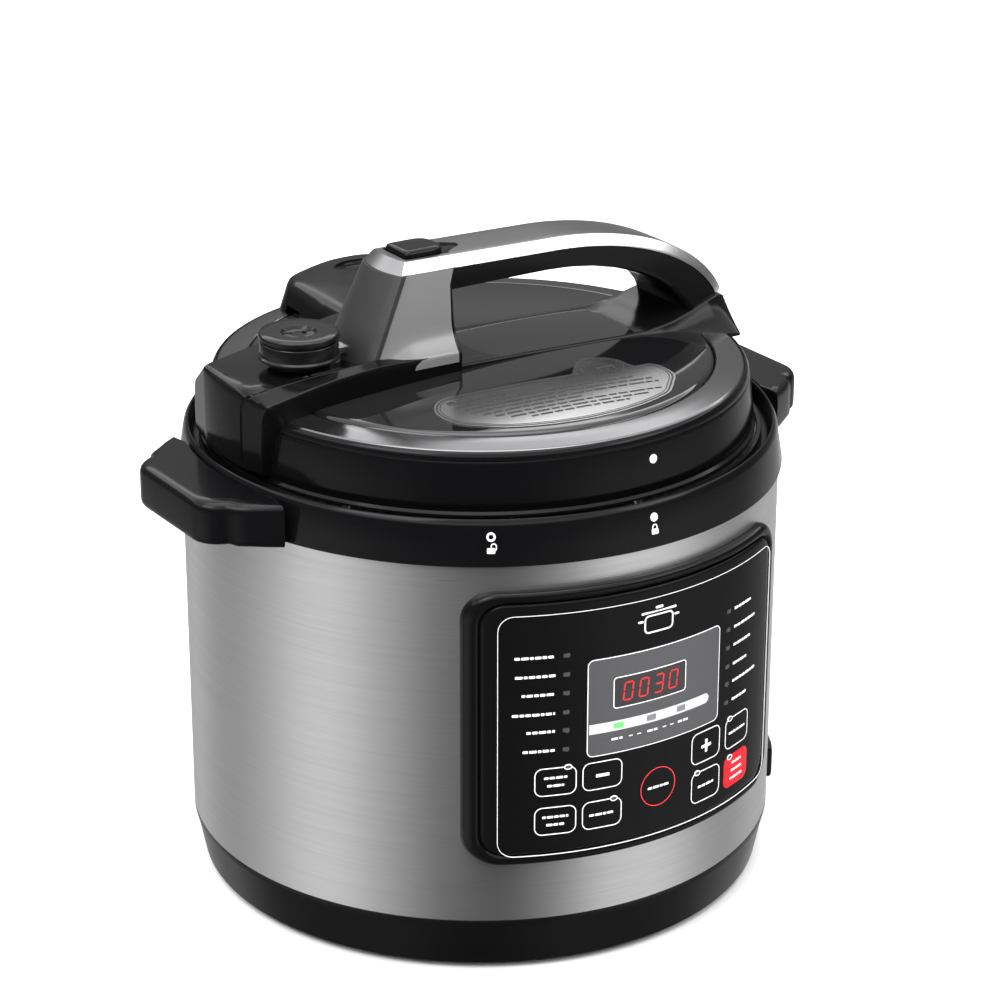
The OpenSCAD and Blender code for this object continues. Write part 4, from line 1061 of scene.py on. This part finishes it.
def arch():
    rows = []
    stations = sorted({round(ARCH[0][0] + (1 - ARCH[0][0]) * i / 44, 4) for i in range(45)})
    for s in stations:
        ix, iz, w_in = profile_at(ARCH, s)
        ox, oz = top_curve(s, CAP_DEEP + 0.03)
        low_x, low_z = top_curve(s, CAP_DEEP + (BUTTON_ROOM if s < 0.17 else 0.03))
        half = [(low_x, 12.0, low_z), (ox, 12.4, oz)]
        for q in (0.0, 0.03, 0.06, 0.2, 0.4, 0.6, 0.8, 0.9):
            y = 17.6 + (w_in - 17.6) * q - (0.7 if q == 0.0 else 0)
            half.append((ox + (ix - ox) * q, y, oz + (iz - oz) * q))
        length = math.hypot(ix - ox, iz - oz)
        for drop, pull in ((3.0, 0.0), (1.6, 0.35), (0.6, 1.2), (0.1, 2.6), (0.0, 4.4)):
            q = 1 - drop / length
            half.append((ox + (ix - ox) * q, w_in - pull, oz + (iz - oz) * q))
        rows.append(half + [(x, -y, z) for x, y, z in reversed(half)])
    return grid(rows, cap=True)


piece("handle_arch", *arch(), "lid", "black_plastic", M["gloss"], ("handle_grip",), sharp=40)

# Lower moulding: rails beside the opening and the spreading foot of the tail, as x, height and
# half width of the rail, and x, half width and height of the foot
RAIL = [(-58, 279.4, 27.6), (-40, 279.0, 27.5), (-20, 278.4, 27.3), (10, 277.6, 27.1), (40, 276.6, 27.0),
        (66, 275.6, 27.0), (84, 275.4, 27.0), (100, 277.2, 26.8), (114, 280.8, 26.0), (126, 284.4, 24.2),
        (134, 284.6, 21.2), (141.2, 282.4, 17.6)]
FOOT = [(-58, 28.6, 271.0), (60, 28.6, 271.0), (84, 28.8, 271.5), (98, 30.8, 270.6), (110, 33.2, 269.9),
        (122, 36.0, 269.4), (131, 38.0, 268.9), (141.2, 38.0, 268.2)]
RAIL_STOPS = (-58, *range(-50, 80, 10), *range(78, 121, 6), 124, 128, 131, 134, 137, 139, 141.2)


def moulding():
    rows = []
    for x in RAIL_STOPS:
        z, w = profile_at(RAIL, x)
        y2, z2 = profile_at(FOOT, x)
        sink = 1.6 if x < 80 else 1.6 * hit((92 - x) / 12, 0, 1)
        half = [(0, z - sink), (w * 0.5, z - sink), (w - 4.4, z - sink), (w - 3.0, z - sink * 0.6),
                (w - 1.9, z - 0.15), (w - 0.9, z), (w - 0.3, z - 0.35), (w, z - 1.1)]
        for q in (0.3, 0.55, 0.8, 1.0):
            swell = math.sin(math.pi * q) * (-1.2 if x > 90 else 0)
            half.append((w + (y2 - w) * q + swell * 0.3, (z - 1.1) + (z2 - z + 1.1) * q + swell))
        half.append((y2, 266.8))
        row = []
        for py, pz in [(-y, zz) for y, zz in reversed(half)] + half[1:]:
            limit = math.sqrt(141.4 ** 2 - py * py)
            row.append((min(x, limit - (141.2 - x) * 0.35 if x > 131 else limit), py, pz))
        rows.append(row)
    return grid(rows, cap=True)


piece("handle_moulding", *moulding(), "lid", "black_plastic", M["gloss"], ("handle_base",), sharp=40)

# --- Hood over the float valve ---------------------------------------------------------


def hood():
    """Lobe with a flat top that falls away towards its free end."""
    rows = []
    plan = [(0, 27, 4), (16, 52, 8), (16, 134)]
    for t in map(math.radians, range(87, 110, 3)):
        plan.append((136.9 * math.cos(t), 136.9 * math.sin(t)))
    plan += [(-49.5, 122, 7), (-52, 84), (-52, 27)]
    base = rounded(plan, 5.0, 5)
    cx, cy = -17.0, 80.0
    for inset, z in ((0, 267.5), (0.6, 276), (1.0, 281.5), (1.5, 284.2), (2.5, 286.4), (4.0, 287.8),
                     (6.2, 288.5), (10.0, 288.8), (18, 288.9), (28, 289.0)):
        row = []
        for x, y in base:
            d = Vector((x - cx, y - cy))
            k = max(0.0, 1 - inset / max(d.length, 1e-6))
            px, py = cx + d.x * k, cy + d.y * k
            lean = hit((z - 267.5) / 21, 0, 1)
            px += 5.5 * lean * smoothstep((-px - 30) / 20)
            fall = 3.6 * smoothstep((-px - 5) / 42) * lean
            row.append((px, py, z - fall))
        rows.append(row)
    return grid(rows, cap=True)


hood_piece = piece("float_hood", *hood(), "lid", "black_plastic", M["gloss"], ("float_valve_hood",), sharp=40)
mouth = rounded([(-60, 99), (-38, 99), (-38, 114), (-60, 114)], 3)
cut(hood_piece, *prism(mouth, 268.0, 274.0), sharp=40)
cut(hood_piece, *lathe([(0, 260), (6.2, 260), (6.2, 279), (0, 279)], cx=-30, cy=95, turn=32), sharp=40)
dish = [[(-4 + x * k, 116 + y * k, z) for x, y in circle(0, 0, 13, 7.5, 32)]
        for k, z in ((0.72, 286.6), (0.9, 287.0), (1.0, 288.4), (1.06, 294))]
cut(hood_piece, *grid(dish, cap=True), sharp=40)

# --- Plaque ----------------------------------------------------------------------------


def on_dome(u, v, lift):
    """Plan position on the dome, raised by lift."""
    return (u, v, dome_z(math.hypot(u, v)) + lift)


def fixed(points, count=160):
    """Resamples a closed outline to a set number of points."""
    lengths = [math.dist(points[i], points[(i + 1) % len(points)]) for i in range(len(points))]
    total = sum(lengths)
    out, i, run = [], 0, 0.0
    for s in range(count):
        goal = total * s / count
        while run + lengths[i] < goal and i < len(points) - 1:
            run += lengths[i]
            i += 1
        t = (goal - run) / max(lengths[i], 1e-9)
        a, b = points[i], points[(i + 1) % len(points)]
        out.append((a[0] + (b[0] - a[0]) * t, a[1] + (b[1] - a[1]) * t))
    return out


def arc(cx, cy, r, start, end, steps):
    angles_here = [math.radians(start + (end - start) * i / steps) for i in range(steps + 1)]
    return [(cx + r * math.cos(t), cy + r * math.sin(t)) for t in angles_here]


# Left end, straight top edge, round bump, right end, then along the dome's rim
PLAQUE = [(-70, -66, 12), (-60, -54.4, 10), (19.4, -61.4, 1)] + arc(34, -60, 14.2, 170, -5, 9)
PLAQUE += [(49, -65.8, 1), (60, -64.6, 9), (63.5, -82, 14)] + arc(0, 0, 111.5, -66, -117, 8)
PLAQUE += [(-69, -84, 14)]


def plaque_outline(inset):
    """Label plate following the dome's rim, with a round bump at its right."""
    points = fixed(rounded(PLAQUE, 4, 6), 200)
    out = []
    for i, (x, y) in enumerate(points):
        ahead, behind = points[(i + 2) % 200], points[i - 2]
        run = Vector((ahead[0] - behind[0], ahead[1] - behind[1])).normalized()
        out.append((x + run.y * inset, y - run.x * inset))
    return out


piece("plaque", *slab(plaque_outline(0), 0.42, -0.4, on_dome, 10), "lid", "label_metal", M["plaque"],
      ("label_plate",))
rims = [band(plaque_outline(a), plaque_outline(b), 0.5, 0.1, on_dome) for a, b in ((0.9, 1.9), (2.7, 3.2))]
SLANT = math.radians(-5.2)
# Rows of bars: start, width of the row and height of the bars
PLAQUE_ROWS = [(-59, -62.0, 32, 3.4), (-58, -68.4, 98, 1.6), (-57, -72.9, 106, 1.6), (-55, -77.4, 104, 1.6),
               (-51, -81.9, 56, 1.6), (-47, -86.4, 92, 1.6), (-41, -90.9, 76, 1.6), (-32, -95.4, 54, 1.6)]
for index, (x0, y0, wide, tall) in enumerate(PLAQUE_ROWS):
    run, step = 0.0, index
    while run < wide - 1.2:
        size = min((5.2, 8.4, 3.6, 6.8, 4.4)[step % 5] * (0.8 if tall > 2 else 1), wide - run)
        block = [(run + size / 2 + px, py) for px, py in rrect(size, tall, 0.4, 2)]
        rims.append(slab([(x0 + px * math.cos(SLANT) - py * math.sin(SLANT),
                           y0 + px * math.sin(SLANT) + py * math.cos(SLANT)) for px, py in block],
                         0.5, 0.1, on_dome, 1))
        run += size + 1.1
        step += 1
rims.append(band(circle(34.5, -59.5, 10.6, 10.6, 32), circle(34.5, -59.5, 9.8, 9.8, 32), 0.5, 0.1, on_dome))
for px, py, pw, ph in ((34.5, -56.5, 9, 1.2), (34.5, -60.0, 11, 2.6), (30.2, -63.6, 1.4, 2.8),
                       (38.8, -63.6, 1.4, 2.8)):
    rims.append(slab([(px + a, py + b) for a, b in rrect(pw, ph, 0.4, 2)], 0.52, 0.1, on_dome, 1))
piece("plaque_print", *join(*rims), "lid", "black_plastic", M["ink_dark"], sharp=50)

# --- Pressure valve --------------------------------------------------------------------

VALVE_X = -105
piece("valve_knob", *lathe([
    (5.7, 286.0), (15.6, 286.0), (16.4, 286.8), (16.6, 288.6), (17.6, 289.3), (19.9, 289.6), (20.4, 290.0),
    (20.4, 290.8), (19.9, 291.2), (19.4, 291.6), (19.4, 297.6), (19.0, 298.3), (18.2, 298.6), (18.2, 299.3),
    (19.3, 299.5), (19.9, 299.9), (20.0, 301.2), (19.8, 302.0), (19.2, 302.5), (14, 302.55), (9.0, 302.3),
    (8.2, 301.4), (7.8, 300.9), (0, 300.8), (0, 297.0), (5.7, 297.0)], cx=VALVE_X, turn=96),
    "pressure_valve", "black_plastic", M["valve"], ("pressure_valve",), sharp=40)
# Matte black ring under the bridges: painted shade standing for the dark inside the valve's slots.
piece("valve_slot_shade", *lathe([(4.0, 300.4), (7.3, 300.4), (7.3, 301.0), (4.0, 301.0)], cx=VALVE_X, turn=48),
      "pressure_valve", "black_plastic", M["ink_dark"])
bridge = prism([(3.6, -1.0), (7.6, -1.3), (7.6, 1.3), (3.6, 1.0)], 300.4, 301.4)
piece("valve_bridges", *join(*[turned(bridge, degrees, VALVE_X) for degrees in (20, 140, 260)]),
      "pressure_valve", "black_plastic", M["valve"])

# --- Rear and side fittings ------------------------------------------------------------

INLET_Z = 42
flange_rows = []
for inset, y in ((0.2, 146.5), (0, 150.0), (0, 154.0), (0.4, 154.6), (1.0, 154.9), (3.0, 154.9), (3.4, 154.6),
                 (3.6, 138.0)):
    flange = rrect(32 - 2 * inset, 21 - 2 * inset, max(5.5 - inset * 0.8, 1.4), 6, 0, INLET_Z)
    flange_rows.append([(u, -y, v) for u, v in flange])
flange_rows.append([(u, -135.0, v) for u, v in rrect(24.8, 13.8, 2.4, 6, 0, INLET_Z)])
piece("mains_inlet", *turned(grid(flange_rows, cap=True), INLET_TURN), "base", "base_plastic", M["base"],
      ("power_inlet",))

REACH = 158.6 * math.sqrt(2) - 34
plan = [(x, math.sqrt(152.6 ** 2 - x * x)) for x in [-34 + 68 * s / 16 for s in range(17)]]
plan += [(34, REACH - 1.2), (32.8, REACH), (-32.8, REACH), (-34, REACH - 1.2)]
bracket = piece("drip_bracket", *turned(prism(plan, 204, 215), CUP_TURN), "base", "base_plastic", M["base"],
                ("cup_bracket",), sharp=35)
for half, low, high in ((30.3, 205.7, 210.3), (27.3, 200, 208)):
    slot_plan = [(-half, 155.5), (half, 155.5), (half, 205), (-half, 205)]
    cut(bracket, *turned(prism(slot_plan, low, high), CUP_TURN))
bevel(bracket, 0.5, 2, 40)

CUP_D = REACH - 158
CUP_Y = 156 + CUP_D / 2


def cup_ring(w, d, r, z):
    return [(x, CUP_Y + y, z) for x, y in rrect(w, d, r, 5)]


cup_rows = [cup_ring(53 - 2 * inset, CUP_D - 2 * inset, max(5 - inset * 0.4, 1), z) for inset, z in (
    (5.5, 158.1), (2.6, 158.4), (0.9, 159.6), (0.3, 161.5), (0, 164), (0, 206.2))]
cup_rows += [cup_ring(53 + 2 * half, CUP_D - 0.2, 4.5, z) for half, z in (
    (3.3, 206.3), (3.3, 209.2), (2.9, 209.5))]
cup_rows += [cup_ring(53 - 2 * inset, CUP_D - 2 * inset, max(4 - inset * 0.2, 1), z) for inset, z in (
    (1.6, 209.5), (2.0, 209.0), (2.1, 166), (3.0, 162), (5.5, 160.4))]
lip = prism(rounded([(-14, 186), (14, 186), (14, 193, 4), (-14, 193, 4)], 0.5), 176, 179)
piece("drip_cup", *turned(join(grid(cup_rows, cap=True), lip), CUP_TURN), "cup", "cup_plastic", M["cup"],
      ("condensation_cup",), sharp=40)

# --- Floor, light and camera -----------------------------------------------------------

floor_mesh = bpy.data.meshes.new("floor")
floor_mesh.from_pydata([(-30, -30, 0), (30, -30, 0), (30, 30, 0), (-30, 30, 0)], [], [(0, 1, 2, 3)])
floor = bpy.data.objects.new("floor", floor_mesh)
bpy.context.scene.collection.objects.link(floor)
fl = Nodes("floor_white")
pale_floor = fl.tint(fl.noise(fl.coords(), 3.0), (0.80, 0.80, 0.80), (0.82, 0.82, 0.82))
fl.link(pale_floor, fl.bsdf.inputs["Base Color"])
fl.set(Roughness=0.9, Specular_IOR_Level=0.1)
floor_mesh.materials.append(fl.mat)
floor.visible_glossy = False

world = bpy.data.worlds.new("studio")
bpy.context.scene.world = world
world.use_nodes = True
sky = world.node_tree
background = sky.nodes["Background"]


def sky_node(kind, *sources, **values):
    """Node of the world's tree with its first inputs linked and its settings made."""
    node = sky.nodes.new("ShaderNode" + kind)
    for key, value in values.items():
        setattr(node, key, value)
    for source, socket in zip(sources, node.inputs):
        sky.links.new(source, socket)
    return node


toward = sky_node("SeparateXYZ", sky_node("TexCoord").outputs["Generated"])
flip = sky_node("Math", toward.outputs["Y"], operation="MULTIPLY")
flip.inputs[1].default_value = -1
round_angle = sky_node("Math", toward.outputs["X"], flip.outputs[0], operation="ARCTAN2").outputs[0]


def ramp(source, low, high, stops, smooth=False):
    """Brightness looked up along a direction's angle or height."""
    span = sky_node("MapRange", source)
    span.inputs["From Min"].default_value = low
    span.inputs["From Max"].default_value = high
    node = sky_node("ValToRGB", span.outputs["Result"])
    colours = node.color_ramp
    colours.interpolation = "CARDINAL" if smooth else "LINEAR"
    while len(colours.elements) > 1:
        colours.elements.remove(colours.elements[0])
    for i, (at, value) in enumerate(stops):
        at = (at - low) / (high - low)
        stop = colours.elements[0] if i == 0 else colours.elements.new(at)
        stop.position = at
        stop.color = (value, value, value, 1)
    return node.outputs["Color"]


def by_angle(share, stops, smooth=False):
    """Stops are degrees round the object, from the front towards the right, and brightness."""
    return ramp(round_angle, -math.pi, math.pi, [(math.radians(a), share * v) for a, v in stops], smooth)


def by_height(*stops):
    """Stops are the upward part of a direction, from -1 to 1, and brightness."""
    return ramp(toward.outputs["Z"], -1, 1, stops)


def blend(kind, a, b):
    """Product or sum of two outputs, or of an output and a number."""
    node = sky_node("Mix", data_type="RGBA", blend_type=kind, clamp_result=False)
    node.inputs["Factor"].default_value = 1
    sky.links.new(a, node.inputs["A"])
    if isinstance(b, float):
        node.inputs["B"].default_value = (b, b, b, 1)
    else:
        sky.links.new(b, node.inputs["B"])
    return node.outputs["Result"]


# Side light round the object, and the share of it by height
SIDE_LIGHT = (
    (-180, 0.45), (-157, 0.31), (-137, 0.33), (-117, 0.52), (-97, 0.72), (-77, 0.48), (-57, 0.20),
    (-37, 0.08), (-17, 0.10), (3, 0.36), (23, 0.72), (43, 0.68), (63, 0.40), (83, 0.30), (103, 0.42),
    (123, 0.40), (143, 0.58), (165, 0.36), (180, 0.43))
sides = blend("MULTIPLY", by_angle(1.45, SIDE_LIGHT, smooth=True), by_height(
    (-1, 0.15), (-0.75, 0.35), (-0.55, 1.0), (-0.2, 0.95), (-0.08, 0.42), (0.1, 0.22), (0.3, 0.10),
    (1, 0.05)))
# Pale backdrop behind the object, above the level, seen in its upward glossy faces
BACKDROP = ((-180, 0.9), (-150, 0.9), (-110, 0.55), (-80, 0.12), (0, 0.06), (80, 0.12), (110, 0.7),
            (150, 0.9), (180, 0.9))
rear = blend("MULTIPLY", by_angle(0.38, BACKDROP), by_height(
    (-1, 0), (0.12, 0.0), (0.24, 0.8), (0.42, 0.9), (0.5, 0.5), (1, 0.0)))
# Overhead soft box
box = blend("MULTIPLY", by_height((-1, 0), (0.0, 0.0), (0.452, 0.02), (0.462, 0.4), (0.470, 1.6), (0.52, 1.5),
                                  (0.56, 0.75), (0.88, 0.9), (0.96, 2.5), (1, 2.5)), 2.4)
sky.links.new(blend("ADD", blend("ADD", sides, box), rear), background.inputs["Color"])
background.inputs["Strength"].default_value = 1.0


def look_at(obj, target, azimuth, elevation, distance):
    """Stands an object off its target: degrees from the front towards the right, then upwards."""
    a, e = math.radians(azimuth), math.radians(elevation)
    away = Vector((math.sin(a) * math.cos(e), -math.cos(a) * math.cos(e), math.sin(e)))
    obj.location = Vector(target) + away * distance
    obj.rotation_euler = (-away).to_track_quat("-Z", "Y").to_euler()
    bpy.context.scene.collection.objects.link(obj)


for name, azimuth, elevation, distance, size, power in (("key", -75, 48, 2.6, (1.4, 1.0), 26),
                                                        ("fill", 40, 35, 2.8, (1.2, 1.0), 12)):
    light = bpy.data.lights.new(name, "AREA")
    light.shape = "RECTANGLE"
    light.size, light.size_y = size
    light.energy = power
    look_at(bpy.data.objects.new(name, light), (0, 0, 0.15), azimuth, elevation, distance)

bpy.context.scene.view_settings.view_transform = "Standard"

camera_data = bpy.data.cameras.new("camera")
camera_data.sensor_width = 36
camera_data.lens = 112.5
camera_data.shift_x = 0.0198
camera_data.shift_y = 0.0158
camera = bpy.data.objects.new("camera", camera_data)
look_at(camera, (0, 0, 0.1825), -32.8, 22.04, 1.617)
bpy.context.scene.camera = camera
